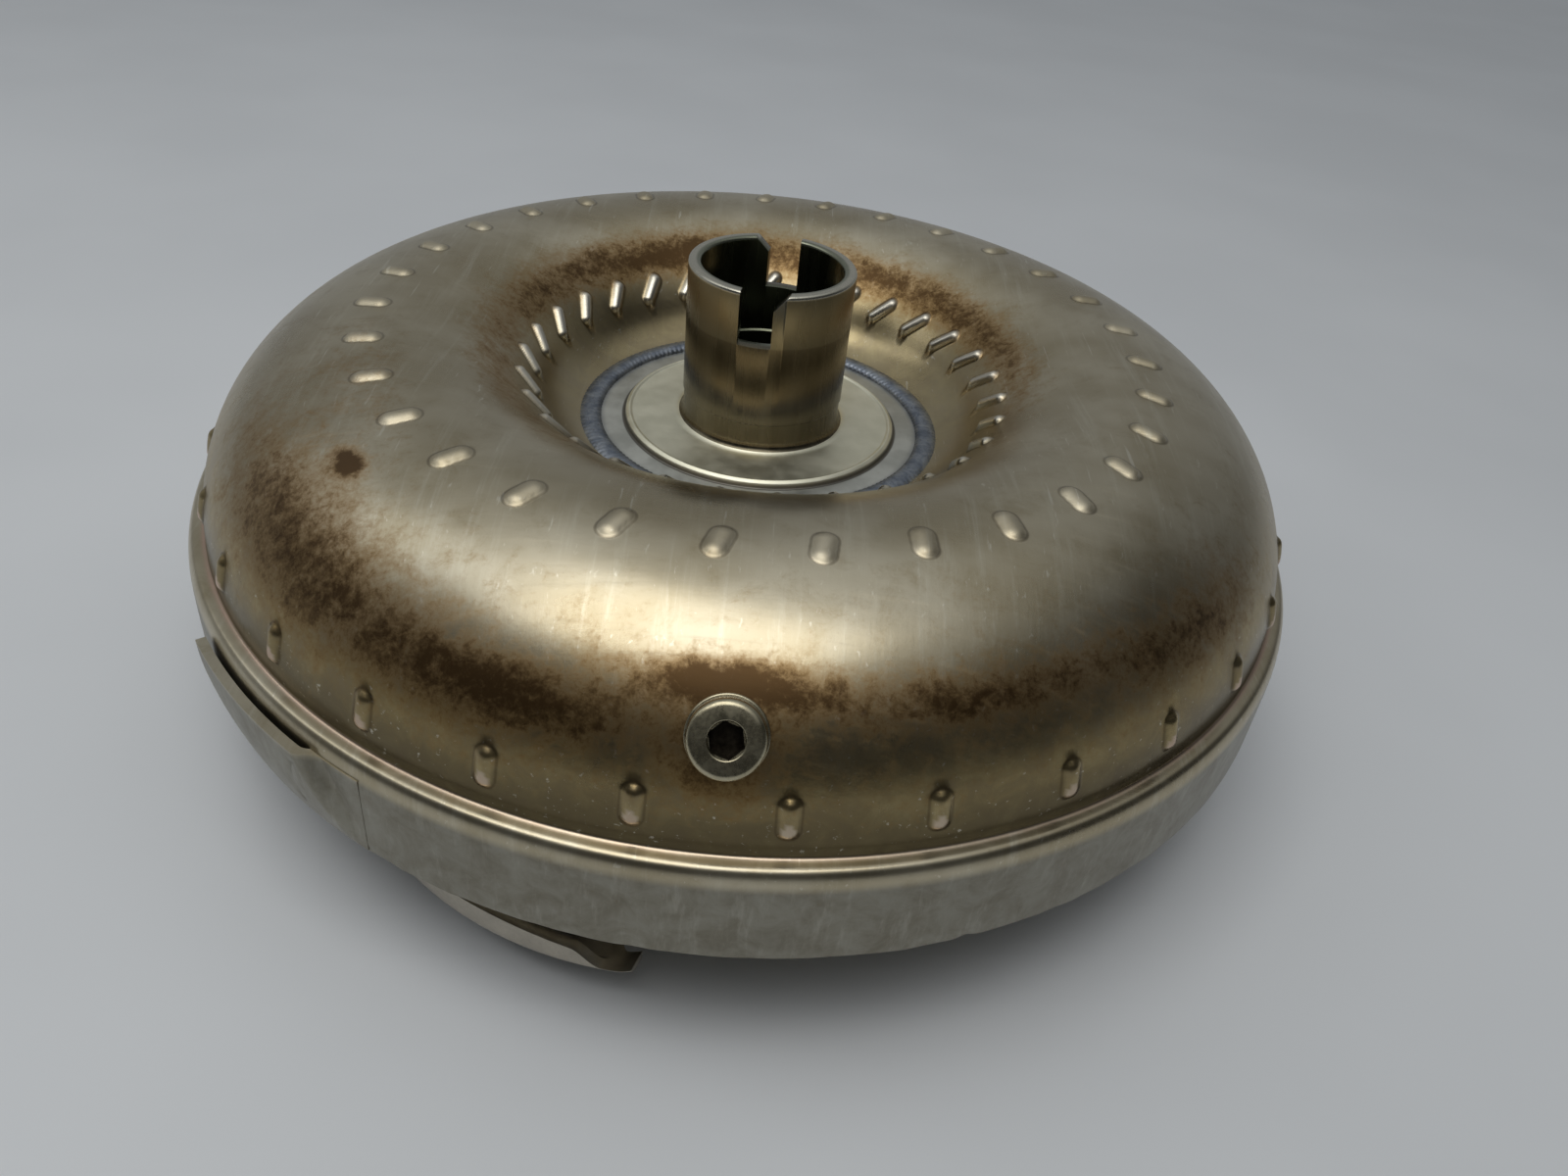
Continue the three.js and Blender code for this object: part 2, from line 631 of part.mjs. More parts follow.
const plateRing = (inner, outer, low, top, segments = 24) =>
  spun([[inner, low], [outer, low], [outer, top], [inner, top]], segments);
add('clutch_front_plate', plateRing(25.1, 39.7, -7.2, -5.75), HARDENED);
add('clutch_rear_plate', plateRing(25.1, 39.7, 3.75, 5.1), HARDENED);

// The snap ring is split by a gap, so that it can be squeezed into its groove.
const snapRing = plateRing(37.2, 40.6, 5.6, 6.7).subtract(sector(36, 42, -4, 4, 5, 7.5, 2));
add('clutch_snap_ring', snapRing, PRESSED);

const innerRace = spun([[13, -6.8], [CLUTCH.raceR, -6.8], [CLUTCH.raceR, 4.8], [13, 4.8]], 32);
add('clutch_inner_race', innerRace.subtract(prism(splineOutline(STATOR_SPLINE), -10, 10)), HARDENED);

// ---------------------------------------------------------------- thrust bearings
function needleCage(inner, outer, low, top, needles = 9) {
  const middle = (low + top) / 2;
  const radius = (top - low) / 2;
  let cage = plateRing(inner, outer, middle - radius * 0.5, middle + radius * 0.5, 18);
  const needle = new THREE.CylinderGeometry(radius, radius, outer - inner - 3, 6);
  needle.rotateZ(Math.PI / 2);
  needle.translate((inner + outer) / 2, 0, middle);
  const one = solid(needle);
  for (let i = 0; i < needles; i += 1) {
    cage = cage.add(turned(one, (i + 0.5) * 360 / needles));
  }
  return cage;
}

add('rear_bearing_cage', needleCage(26, 35.5, 5.45, 7.65), HARDENED);
add('rear_bearing_race', plateRing(26, 36, 8, 8.95, 24), HARDENED);
add('middle_bearing_cage', needleCage(25, 35, -10.3, -7.6), HARDENED);
add('middle_bearing_race', plateRing(24, 35.4, -12.75, -10.65, 24), HARDENED);
add('front_bearing_cage', needleCage(12, 21, -33.75, -31.35), HARDENED);
add('front_bearing_race', plateRing(11.5, 21.6, -35.15, -34.1, 24), HARDENED);

export default converter;
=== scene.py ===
"""Torque converter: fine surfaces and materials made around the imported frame.

Lengths are in millimetres and heights are measured from the rim's crease, as a drawing of the
housing would give them. Mesh points are turned into metres in the frame's own axes at the end.
"""

import json
import math

import bmesh
import bpy
import numpy as np
from mathutils import Matrix, Vector


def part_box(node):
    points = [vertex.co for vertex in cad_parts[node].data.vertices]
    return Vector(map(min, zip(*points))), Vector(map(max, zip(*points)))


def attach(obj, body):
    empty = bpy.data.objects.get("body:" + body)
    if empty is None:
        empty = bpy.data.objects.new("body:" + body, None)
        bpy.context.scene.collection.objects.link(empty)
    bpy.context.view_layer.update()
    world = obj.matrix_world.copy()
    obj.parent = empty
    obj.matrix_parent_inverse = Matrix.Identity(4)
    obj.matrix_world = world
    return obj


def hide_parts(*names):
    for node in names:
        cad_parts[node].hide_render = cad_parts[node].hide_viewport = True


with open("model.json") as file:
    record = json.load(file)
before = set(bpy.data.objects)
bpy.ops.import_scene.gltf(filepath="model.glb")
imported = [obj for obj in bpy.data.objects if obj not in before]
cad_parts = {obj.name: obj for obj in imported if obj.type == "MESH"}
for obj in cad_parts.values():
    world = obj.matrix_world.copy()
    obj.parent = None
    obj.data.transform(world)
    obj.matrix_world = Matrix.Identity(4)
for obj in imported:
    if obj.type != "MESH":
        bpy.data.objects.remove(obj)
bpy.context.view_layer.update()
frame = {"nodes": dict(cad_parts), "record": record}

# ---------------------------------------------------------------- driving dimensions
MM = 0.001
SKIRT_DROP = 23.1               # the skirt's sheared edge lies this far under the crease
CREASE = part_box("impeller_shell")[0].z / MM + SKIRT_DROP
FLOOR = -CREASE                 # height of the pilot's end face

TORUS = {"r": 91.8, "out": 45.2, "in": 41.1, "high": 39.7}
SHEET = 2.6
BOWL = {"r": 43.2, "floor": 12.9, "fillet": 15.7, "turn": 58.0}
TORUS_START = 149.2             # degrees where the bowl's fillet meets the torus
MARKS = 31                      # one pressed tab mark for each blade, in each of three rings

PLUG = {"azimuth": -90.3, "torus_angle": 33.7}
HUB = {"r": 20.8, "top": 55.6}
SLOT = {"azimuth": -98.5, "width": 8.2, "deep": 13.2, "lead": 3.4, "lead_deep": 3.8}
LOUVER = -132.5                 # azimuth of the louver's middle
LIP_R = 137.1                   # the ledge along the crease starts at this radius
BRACKETS = 3
BRACKET = {"azimuth": -109.5, "low": -42.0, "sheet": 2.3, "top": -33.8, "inner": 111.5, "bend": 3.0,
           "edge": 136.5, "slope": -0.095, "curve": 80.0, "half": 30.7}
NUT = {"u": 13.0, "v": 123.9, "flats": 13.0, "height": 4.6, "hole": 4.4}
COVER = {"r": 91.0, "reach": 47.7, "high": 31.8, "z": -8.0, "sheet": 2.8, "disc": 56.0, "step": 1.5}

rng = np.random.default_rng(7)


# ---------------------------------------------------------------- mesh helpers
def new_object(name, verts, faces):
    """A mesh object from points in millimetres above the crease."""
    mesh = bpy.data.meshes.new(name)
    points = np.asarray(verts, float).reshape(-1, 3)
    points = (points + (0, 0, CREASE)) * MM
    mesh.from_pydata(points.tolist(), [], faces.tolist() if isinstance(faces, np.ndarray) else faces)
    mesh.update()
    obj = bpy.data.objects.new(name, mesh)
    bpy.context.scene.collection.objects.link(obj)
    return obj


def clean(obj, weld=0.02):
    """Welds coincident points and turns every face outwards."""
    bm = bmesh.new()
    bm.from_mesh(obj.data)
    bmesh.ops.remove_doubles(bm, verts=bm.verts, dist=weld * MM)
    bmesh.ops.dissolve_degenerate(bm, edges=bm.edges, dist=1e-7)
    bmesh.ops.recalc_face_normals(bm, faces=bm.faces)
    bm.to_mesh(obj.data)
    bm.free()
    return obj


def smooth(obj, angle=32):
    """Smooth shading with creases kept where faces meet at more than the angle."""
    obj.data.polygons.foreach_set("use_smooth", [True] * len(obj.data.polygons))
    obj.data.set_sharp_from_angle(angle=math.radians(angle))
    return obj


def apply_modifier(obj, kind, **settings):
    modifier = obj.modifiers.new(kind.lower(), kind)
    for key, value in settings.items():
        setattr(modifier, key, value)
    bpy.context.view_layer.update()
    evaluated = obj.evaluated_get(bpy.context.evaluated_depsgraph_get())
    mesh = bpy.data.meshes.new_from_object(evaluated)
    obj.modifiers.clear()
    obj.data = mesh
    return obj


def boolean(obj, tool, operation="DIFFERENCE"):
    apply_modifier(obj, "BOOLEAN", object=tool, operation=operation, solver="MANIFOLD")
    bpy.data.objects.remove(tool)
    return obj


def bevel(obj, width, segments=2, angle=40):
    return apply_modifier(
        obj, "BEVEL", width=width * MM, segments=segments, limit_method="ANGLE",
        angle_limit=math.radians(angle), harden_normals=False,
    )


def grid_faces(rows, cols, wrap_rows, wrap_cols):
    """Quads over a grid of points, rows by cols, joined round in either direction."""
    i = np.arange(rows if wrap_rows else rows - 1)[:, None]
    j = np.arange(cols if wrap_cols else cols - 1)[None, :]
    down, right = (i + 1) % rows, (j + 1) % cols
    quads = np.stack([i * cols + j, i * cols + right, down * cols + right, down * cols + j], -1)
    return quads.reshape(-1, 4)


def polar(r, degrees):
    return r * math.cos(math.radians(degrees)), r * math.sin(math.radians(degrees))


def fillet(corners, steps=4):
    """A closed profile with its corners (r, z, radius) rounded; one without a radius stays sharp."""
    points = []
    for i, corner in enumerate(corners):
        here = np.array(corner[:2], float)
        radius = corner[2] if len(corner) > 2 else 0
        before = np.array(corners[i - 1][:2], float) - here
        after = np.array(corners[(i + 1) % len(corners)][:2], float) - here
        if radius <= 0:
            points.append(tuple(here))
            continue
        a, b = before / np.linalg.norm(before), after / np.linalg.norm(after)
        half = math.acos(max(-1, min(1, float(a @ b)))) / 2
        reach = min(radius / math.tan(half), 0.49 * np.linalg.norm(before), 0.49 * np.linalg.norm(after))
        bulge = reach * math.tan(half)
        centre = here + (a + b) / np.linalg.norm(a + b) * (bulge / math.sin(half))
        start, end = here + a * reach - centre, here + b * reach - centre
        turn = math.atan2(start[0] * end[1] - start[1] * end[0], float(start @ end))
        for s in np.linspace(0, turn, steps + 1):
            rotated = (start[0] * math.cos(s) - start[1] * math.sin(s),
                       start[0] * math.sin(s) + start[1] * math.cos(s))
            points.append(tuple(centre + rotated))
    return points


def lathe(name, profile, segments=96, place=None, span=None):
    """A closed [r, z] profile spun about Z, right round or over a span, and then put in its place."""
    profile = np.array(profile, float)
    start, end = span or (0, 360)
    angles = np.radians(np.linspace(start, end, segments, endpoint=span is not None))
    grid = np.empty((len(profile), segments, 3))
    grid[..., 0] = profile[:, 0, None] * np.cos(angles)
    grid[..., 1] = profile[:, 0, None] * np.sin(angles)
    grid[..., 2] = profile[:, 1, None]
    points = grid.reshape(-1, 3)
    if place is not None:
        points = points @ np.array(place.to_3x3()).T + np.array(place.translation)
    faces = grid_faces(len(profile), segments, True, span is None).tolist()
    if span:
        faces += [[i * segments + end for i in range(len(profile))] for end in (0, segments - 1)]
    return clean(new_object(name, points, faces), 0.004)


def prism(name, outline, low, high, place=None):
    """An [x, y] outline raised from low to high."""
    n = len(outline)
    points = np.array([(x, y, z) for z in (low, high) for x, y in outline], float)
    if place is not None:
        points = points @ np.array(place.to_3x3()).T + np.array(place.translation)
    faces = [list(range(n))[::-1], list(range(n, 2 * n))]
    faces += [[i, (i + 1) % n, n + (i + 1) % n, n + i] for i in range(n)]
    return clean(new_object(name, points, faces), 0.001)


def plate_between(name, one_side, other_side):
    """A closed sheet between two grids of points of the same size."""
    rows, cols = one_side.shape[:2]
    count = rows * cols
    points = np.concatenate([one_side.reshape(-1, 3), other_side.reshape(-1, 3)])
    quads = grid_faces(rows, cols, False, False)
    border = [*range(cols), *range(2 * cols - 1, count, cols),
              *range(count - 2, count - cols - 1, -1), *range(count - 2 * cols, 0, -cols)]
    rim = [[a, b, b + count, a + count] for a, b in zip(border, border[1:] + border[:1])]
    faces = [*quads.tolist(), *(quads + count)[:, ::-1].tolist(), *rim]
    return clean(new_object(name, points, faces), 0.001)


def turned(degrees):
    return Matrix.Rotation(math.radians(degrees), 4, "Z")


def put_on(obj, body, slot, material, *nodes):
    """Gives a piece its material, hangs it under its body's empty and hides the CAD nodes that it
    replaces.
    """
    obj.data.materials.clear()
    obj.data.materials.append(material)
    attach(obj, body)
    if nodes:
        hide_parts(*nodes)
    return obj


# ---------------------------------------------------------------- material helpers
class Tree:
    """One material's node tree. Every method adds a node and returns the socket that it gives."""

    def __init__(self, name):
        self.material = bpy.data.materials.new(name)
        self.material.use_nodes = True
        self.nodes = self.material.node_tree.nodes
        self.links = self.material.node_tree.links
        self.shader = self.nodes["Principled BSDF"]
        self.place = self.add("ShaderNodeTexCoord").outputs["Object"]
        self.mm = self.vector("SCALE", self.place, scale=1 / MM)
        axes = self.add("ShaderNodeSeparateXYZ", {0: self.mm})
        self.x, self.y, self.z = axes.outputs
        self.z = self.math("SUBTRACT", self.z, CREASE)
        across, deep = self.math("MULTIPLY", self.x, self.x), self.math("MULTIPLY", self.y, self.y)
        self.r = self.math("SQRT", self.math("ADD", across, deep))

    def add(self, kind, inputs=None, **settings):
        node = self.nodes.new(kind)
        for key, value in settings.items():
            setattr(node, key, value)
        for key, value in (inputs or {}).items():
            if isinstance(value, bpy.types.NodeSocket):
                self.links.new(value, node.inputs[key])
            elif value is not None:
                node.inputs[key].default_value = value
        return node

    def math(self, operation, a, b=None, c=None, clamp=False):
        inputs = {0: a, 1: b, 2: c}
        return self.add("ShaderNodeMath", inputs, operation=operation, use_clamp=clamp).outputs[0]

    def vector(self, operation, a, b=None, scale=None):
        inputs = {0: a, 1: b, "Scale": scale}
        return self.add("ShaderNodeVectorMath", inputs, operation=operation).outputs[0]

    def combine(self, x, y, z):
        return self.add("ShaderNodeCombineXYZ", {0: x, 1: y, 2: z}).outputs[0]

    def rise(self, value, start, end, low=0.0, high=1.0):
        """Goes smoothly from low to high as the value goes from start to end."""
        inputs = {"Value": value, "From Min": start, "From Max": end, "To Min": low, "To Max": high}
        node = self.add("ShaderNodeMapRange", inputs, interpolation_type="SMOOTHSTEP")
        return node.outputs["Result"]

    def band(self, value, centre, half, soft):
        """1 near the centre, 0 beyond half + soft."""
        distance = self.math("ABSOLUTE", self.math("SUBTRACT", value, centre))
        return self.rise(distance, half, half + soft, 1.0, 0.0)

    def noise(self, size, detail=3.0, rough=0.55, vector=None, stretch=(1, 1, 1), turn=(0, 0, 0),
              twist=0.0):
        """Noise whose blotches are about size millimetres across."""
        mapped = self.add("ShaderNodeMapping", {
            "Vector": vector or self.mm,
            "Rotation": [math.radians(t) for t in turn],
            "Scale": [s / size for s in stretch],
        }).outputs[0]
        inputs = {
            "Vector": mapped, "Scale": 1.0, "Detail": detail, "Roughness": rough, "Distortion": twist,
        }
        return self.add("ShaderNodeTexNoise", inputs).outputs["Fac"]

    def attribute(self, name):
        return self.add("ShaderNodeAttribute", attribute_name=name).outputs["Fac"]

    def mix(self, factor, a, b):
        node = self.add("ShaderNodeMix", data_type="RGBA")
        for key, value in ((0, factor), (6, a), (7, b)):
            if isinstance(value, bpy.types.NodeSocket):
                self.links.new(value, node.inputs[key])
            else:
                node.inputs[key].default_value = value if key == 0 else (*value, 1)
        return node.outputs[2]

    def bump(self, height, distance, strength=1.0, normal=None):
        inputs = {"Height": height, "Distance": distance * MM, "Strength": strength, "Normal": normal}
        return self.add("ShaderNodeBump", inputs).outputs[0]

    def finish(self, colour, roughness, normal=None, metallic=1.0, **constants):
        self.shader.inputs["Metallic"].default_value = metallic
        self.links.new(colour, self.shader.inputs["Base Color"])
        self.links.new(roughness, self.shader.inputs["Roughness"])
        if normal is not None:
            self.links.new(normal, self.shader.inputs["Normal"])
        for name, value in constants.items():
            self.shader.inputs[name.replace("_", " ").title()].default_value = value
        return self.material

    def radial_grain(self, amount):
        """Lathe marks run round the axis, so highlights stretch across them."""
        self.shader.inputs["Anisotropic"].default_value = amount
        tangent = self.add("ShaderNodeTangent", direction_type="RADIAL", axis="Z")
        self.links.new(tangent.outputs[0], self.shader.inputs["Tangent"])


# ---------------------------------------------------------------- materials
def varnished_steel():
    """Pressed sheet under baked oil. The mesh's own layers say where varnish, stains and heat lie; the
    varnish layer is partly painted shade on the lower flank, and painted shade also darkens the flank
    along the crease and round each tab mark.
    """
    t = Tree("varnished_shell_steel")
    broad = t.noise(30, 3, 0.55)
    cloud = t.noise(8, 6, 0.7, twist=0.5)
    blot = t.noise(3.4, 6, 0.78, twist=0.4)
    speck = t.noise(1.3, 4, 0.75)
    stain, varnish = t.attribute("stain"), t.attribute("varnish")
    mark, shine = t.attribute("mark"), t.attribute("shine")
    heat, tint = t.attribute("heat"), t.attribute("tint")
    rub = t.noise(2.4, 5, 0.7, stretch=(1, 0.05, 0.2), turn=(0, 0, 38))
    rub_other = t.noise(1.6, 5, 0.7, stretch=(0.06, 1, 0.3), turn=(0, 0, -20))
    hair = t.noise(0.9, 3, 0.6, stretch=(0.7, 0.03, 0.8), turn=(0, 0, 62), twist=0.15)

    steel = t.mix(t.rise(broad, 0.35, 0.7), (0.45, 0.385, 0.26), (0.58, 0.52, 0.39))
    steel = t.mix(t.rise(cloud, 0.45, 0.8, 0, 0.45), steel, (0.33, 0.265, 0.15))
    steel = t.mix(t.rise(rub, 0.5, 0.8, 0, 0.5), steel, (0.70, 0.66, 0.53))
    golden = t.mix(t.rise(cloud, 0.3, 0.7), (0.27, 0.195, 0.085), (0.46, 0.37, 0.19))
    # The golden varnish tone, laid on by torus angle, is partly real varnish and partly painted shade:
    # the flank darkens where it turns away from the light above.
    cover = t.math("MULTIPLY", varnish, t.rise(cloud, 0.25, 0.6, 0.75, 1.0))
    colour = t.mix(cover, steel, golden)
    # Painted shade: the lower flank is darkened towards the crease, standing in for the dark reflection
    # there; the tab marks keep more of their colour.
    crease_painted_shade = t.math("MULTIPLY", t.rise(t.z, 17, 4), t.band(t.r, 130, 7.0, 0.3))
    crease_painted_shade = t.math("MULTIPLY", crease_painted_shade, t.rise(mark, 0.5, 0.9, 1, 0.35))
    colour = t.mix(t.math("MULTIPLY", crease_painted_shade, 0.75), colour, (0.085, 0.068, 0.038))
    colour = t.mix(t.rise(hair, 0.64, 0.74, 0, 0.5), colour, (0.80, 0.76, 0.64))
    skirt = t.math("MULTIPLY", t.rise(t.r, 138.8, 139.6), t.rise(t.z, -2.5, -5.0))
    bare = t.mix(t.rise(cloud, 0.3, 0.75), (0.30, 0.285, 0.235), (0.20, 0.18, 0.135))
    bare = t.mix(t.rise(rub, 0.5, 0.75, 0, 0.5), bare, (0.42, 0.40, 0.34))
    colour = t.mix(skirt, colour, bare)
    grain = t.math("ADD", t.math("MULTIPLY", cloud, 0.35), t.math("MULTIPLY", blot, 0.40))
    grain = t.math("ADD", grain, t.math("MULTIPLY", speck, 0.25))
    amount = t.math("ADD", t.math("MULTIPLY", stain, 0.42), grain)
    brown = t.rise(amount, 0.56, 0.84)
    colour = t.mix(t.math("MULTIPLY", brown, 0.75), colour, (0.29, 0.165, 0.055))
    dark = t.rise(amount, 0.74, 0.92)
    colour = t.mix(t.math("MULTIPLY", dark, 0.85), colour, (0.06, 0.03, 0.012))
    heated = t.math("MULTIPLY", heat, t.rise(cloud, 0.2, 0.7, 0.65, 1.0))
    colour = t.mix(heated, colour, (0.085, 0.068, 0.058))
    pink = t.math("MULTIPLY", tint, t.rise(cloud, 0.25, 0.6, 0.5, 1))
    colour = t.mix(pink, colour, (0.62, 0.43, 0.33))
    # Painted shade: a thin dark ring just outside each raised tab mark, at the mark's foot.
    outline = t.math("MULTIPLY", t.band(mark, 0.40, 0.04, 0.14), 0.4)
    colour = t.mix(outline, colour, (0.07, 0.045, 0.025))
    colour = t.mix(t.math("MULTIPLY", shine, 0.85), colour, (0.70, 0.67, 0.59))

    roughness = t.math("ADD", t.rise(broad, 0.3, 0.75, 0.26, 0.34), t.rise(brown, 0, 1, 0, 0.14))
    roughness = t.math("ADD", roughness, t.rise(rub_other, 0.5, 0.8, 0, 0.1))
    roughness = t.math("ADD", roughness, t.math("MULTIPLY", skirt, 0.08))
    satin = t.math("MULTIPLY", t.band(t.r, 96, 18, 4), t.rise(mark, 0.4, 0.7, 0, 0.14))
    roughness = t.math("ADD", roughness, satin)
    normal = t.bump(rub, 0.03, 0.5)
    normal = t.bump(rub_other, 0.03, 0.4, normal)
    normal = t.bump(hair, 0.02, 0.4, normal)
    normal = t.bump(speck, 0.04, 0.3, normal)
    return t.finish(colour, roughness, normal)


def plain_steel(name, light, shade, rough, grain=0.0, blotch=5.0, pits=0.04):
    """Bare steel: two tones in blotches, fine rubbing marks and a slight tooth."""
    t = Tree(name)
    cloud = t.noise(blotch, 5, 0.65, twist=0.3)
    fine = t.noise(0.8, 4, 0.6)
    colour = t.mix(t.rise(cloud, 0.3, 0.72), shade, light)
    colour = t.mix(t.rise(fine, 0.55, 0.8, 0, 0.35), colour, tuple(0.6 * c for c in shade))
    worn = t.rise(cloud, 0.3, 0.7, rough - 0.06, rough + 0.06)
    roughness = t.math("ADD", worn, t.rise(fine, 0.4, 0.7, 0, 0.08))
    normal = t.bump(fine, pits, 0.5)
    if grain:
        t.radial_grain(grain)
    return t.finish(colour, roughness, normal)


def ground_steel():
    """The hub's turned and ground steel, polished above the line where the pump gear runs."""
    t = Tree("ground_hub_steel")
    rings = t.noise(0.45, 2, 0.6, vector=t.combine(0, 0, t.z))
    smear = t.noise(4.5, 4, 0.6, stretch=(1, 1, 0.06))
    worn = t.rise(t.z, 42.1, 42.6)
    colour = t.mix(t.rise(smear, 0.3, 0.7), (0.115, 0.098, 0.066), (0.155, 0.135, 0.093))
    colour = t.mix(t.rise(rings, 0.5, 0.75, 0, 0.3), colour, (0.19, 0.17, 0.12))
    colour = t.mix(t.math("MULTIPLY", worn, 0.5), colour, (0.24, 0.22, 0.16))
    line = t.math("MULTIPLY", t.band(t.z, 42.0, 0.12, 0.15), 0.6)
    colour = t.mix(line, colour, (0.14, 0.12, 0.085))
    rim = t.rise(t.z, 54.4, 55.0)
    colour = t.mix(t.math("MULTIPLY", rim, 0.8), colour, (0.66, 0.63, 0.53))
    bore = t.rise(t.r, 19.2, 18.4)
    colour = t.mix(t.math("MULTIPLY", bore, 0.85), colour, (0.21, 0.225, 0.16))
    roughness = t.rise(smear, 0.3, 0.7, 0.22, 0.32)
    t.radial_grain(0.5)
    return t.finish(colour, roughness, t.bump(rings, 0.015, 0.4))


def flange_steel():
    """The hub's flange: pale, cream coloured inside its raised ring and grey outside it."""
    t = Tree("ground_flange_steel")
    cloud = t.noise(7, 4, 0.6)
    fine = t.noise(0.7, 4, 0.65)
    cream = t.mix(t.rise(cloud, 0.3, 0.7), (0.80, 0.77, 0.60), (0.87, 0.84, 0.68))
    grey = t.mix(t.rise(cloud, 0.3, 0.7), (0.50, 0.50, 0.45), (0.62, 0.62, 0.57))
    colour = t.mix(t.rise(t.r, 35.2, 36.0), cream, grey)
    # Painted shade: a thin dark line at the foot of the raised ring's outer step.
    colour = t.mix(t.band(t.r, 36.1, 0.25, 0.4), colour, (0.16, 0.15, 0.13))
    colour = t.mix(t.rise(t.r, 40.5, 42.5, 0, 0.6), colour, (0.22, 0.23, 0.25))
    colour = t.mix(t.rise(fine, 0.68, 0.76, 0, 0.5), colour, (0.20, 0.16, 0.10))
    roughness = t.rise(cloud, 0.3, 0.7, 0.40, 0.50)
    return t.finish(colour, roughness, t.bump(fine, 0.006, 0.3))


def weld_steel():
    t = Tree("weld_steel")
    cloud = t.noise(4, 5, 0.65, twist=0.6)
    fine = t.noise(0.9, 4, 0.6)
    colour = t.mix(t.rise(cloud, 0.3, 0.7), (0.17, 0.195, 0.24), (0.36, 0.385, 0.42))
    colour = t.mix(t.rise(fine, 0.55, 0.75, 0, 0.6), colour, (0.09, 0.085, 0.08))
    roughness = t.rise(fine, 0.3, 0.7, 0.34, 0.5)
    return t.finish(colour, roughness, t.bump(fine, 0.12, 0.6))


def floor_paint():
    t = Tree("pale_floor")
    tone = t.noise(180, 3, 0.5)
    colour = t.mix(t.rise(tone, 0.3, 0.7), (0.74, 0.76, 0.785), (0.78, 0.80, 0.825))
    return t.finish(colour, t.rise(tone, 0.3, 0.7, 0.42, 0.5), metallic=0.0)


# Plain metals: light and shade colour, roughness, lathe grain, size of the blotches, depth of the pits.
PLAIN = {
    "cover_steel": ((0.42, 0.38, 0.29), (0.26, 0.22, 0.15), 0.33, 0, 18.0, 0.03),
    "pressed_steel": ((0.50, 0.46, 0.385), (0.39, 0.355, 0.295), 0.36),
    "plug_steel": ((0.54, 0.49, 0.35), (0.40, 0.355, 0.24), 0.26, 0, 5.0, 0.004),
    # The socket's near-black colours are painted shade for the inside of the hex recess.
    "socket_painted_shade": ((0.07, 0.058, 0.042), (0.028, 0.022, 0.016), 0.34, 0, 2.0),
    "hardened_steel": ((0.52, 0.52, 0.53), (0.42, 0.42, 0.43), 0.24, 0.5, 6.0, 0.01),
    "cast_aluminium": ((0.70, 0.71, 0.72), (0.60, 0.61, 0.62), 0.46, 0, 4.0, 0.14),
}
MATERIALS = {
    "varnished_shell_steel": varnished_steel(),
    "ground_hub_steel": ground_steel(),
    "ground_flange_steel": flange_steel(),
    "weld_steel": weld_steel(),
    **{name: plain_steel(name, *look) for name, look in PLAIN.items()},
}


# ---------------------------------------------------------------- the impeller shell
def torus_point(angle, grow=0.0):
    reach = (TORUS["out"] if math.cos(math.radians(angle)) > 0 else TORUS["in"]) + grow
    x = TORUS["r"] + reach * math.cos(math.radians(angle))
    return x, (TORUS["high"] + grow) * math.sin(math.radians(angle))


def shell_outside():
    """The section from the bowl's edge over the torus to the skirt's lower edge, as fine points."""
    centre = BOWL["floor"] + BOWL["fillet"]
    bowl = [(BOWL["r"] + BOWL["fillet"] * math.sin(a), centre - BOWL["fillet"] * math.cos(a))
            for a in np.radians(np.linspace(0, BOWL["turn"], 60))]
    torus = [torus_point(a) for a in np.linspace(TORUS_START, 1.2, 700)]
    crease = [(137.15, 0.35), (137.5, 0.05), (138.1, -0.02), (138.8, -0.04)]
    shoulder = [(139.3 + 2.3 * math.sin(a), -5.4 + 5.33 * math.cos(a))
                for a in np.radians(np.linspace(4, 90, 40))]
    wall = [(141.65 + 0.45 * s, -5.6 - 17.1 * s) for s in np.linspace(0.02, 1, 60)]
    edge = [(142.1, -22.9), (141.95, -23.1)]
    return np.array(bowl + torus + crease + shoulder + wall + edge)


def shell_inside():
    centre = BOWL["floor"] + BOWL["fillet"]
    radius = BOWL["fillet"] + SHEET
    skirt = [(139.7, -23.1), (139.5, -22.8), (139.1, -5.4), (138.2, -3.5), (135.4, -2.5)]
    torus = [torus_point(a, -SHEET) for a in np.linspace(1, TORUS_START, 22)]
    bowl = [(BOWL["r"] + radius * math.sin(a), centre - radius * math.cos(a))
            for a in np.radians(np.linspace(BOWL["turn"] - 6, 0, 6))]
    return np.array(skirt + torus + bowl)


# Each ring of tab marks: torus angle, first azimuth, length, width, lean, height and rubbed shine.
MARK_RINGS = [
    {"angle": 140.5, "azimuth": 9.58, "length": 10.4, "width": 3.8, "lean": -36, "height": 1.35,
     "shine": 1.0},
    {"angle": 83.3, "azimuth": 11.28, "length": 8.8, "width": 4.9, "lean": -14, "height": 1.0,
     "shine": 0.08},
    {"angle": 12.8, "azimuth": 7.71, "length": 8.7, "width": 4.2, "lean": 0, "height": 1.15,
     "shine": 0.03},
]


def resampled(path, spacing):
    """Points along a path, whose spacing there is given by a function of path length."""
    length = np.concatenate([[0], np.cumsum(np.linalg.norm(np.diff(path, axis=0), axis=1))])
    stops = [0.0]
    while stops[-1] < length[-1]:
        stops.append(stops[-1] + spacing(stops[-1]))
    stops[-1] = length[-1]
    stops = np.array(stops)
    points = np.stack([np.interp(stops, length, path[:, k]) for k in (0, 1)], 1)
    return points, stops, length


def mark_centres(path, length):
    """How far along the path the middle of each ring of marks lies."""
    gaps = [np.linalg.norm(path - torus_point(ring["angle"]), axis=1) for ring in MARK_RINGS]
    return [length[np.argmin(gap)] for gap in gaps]


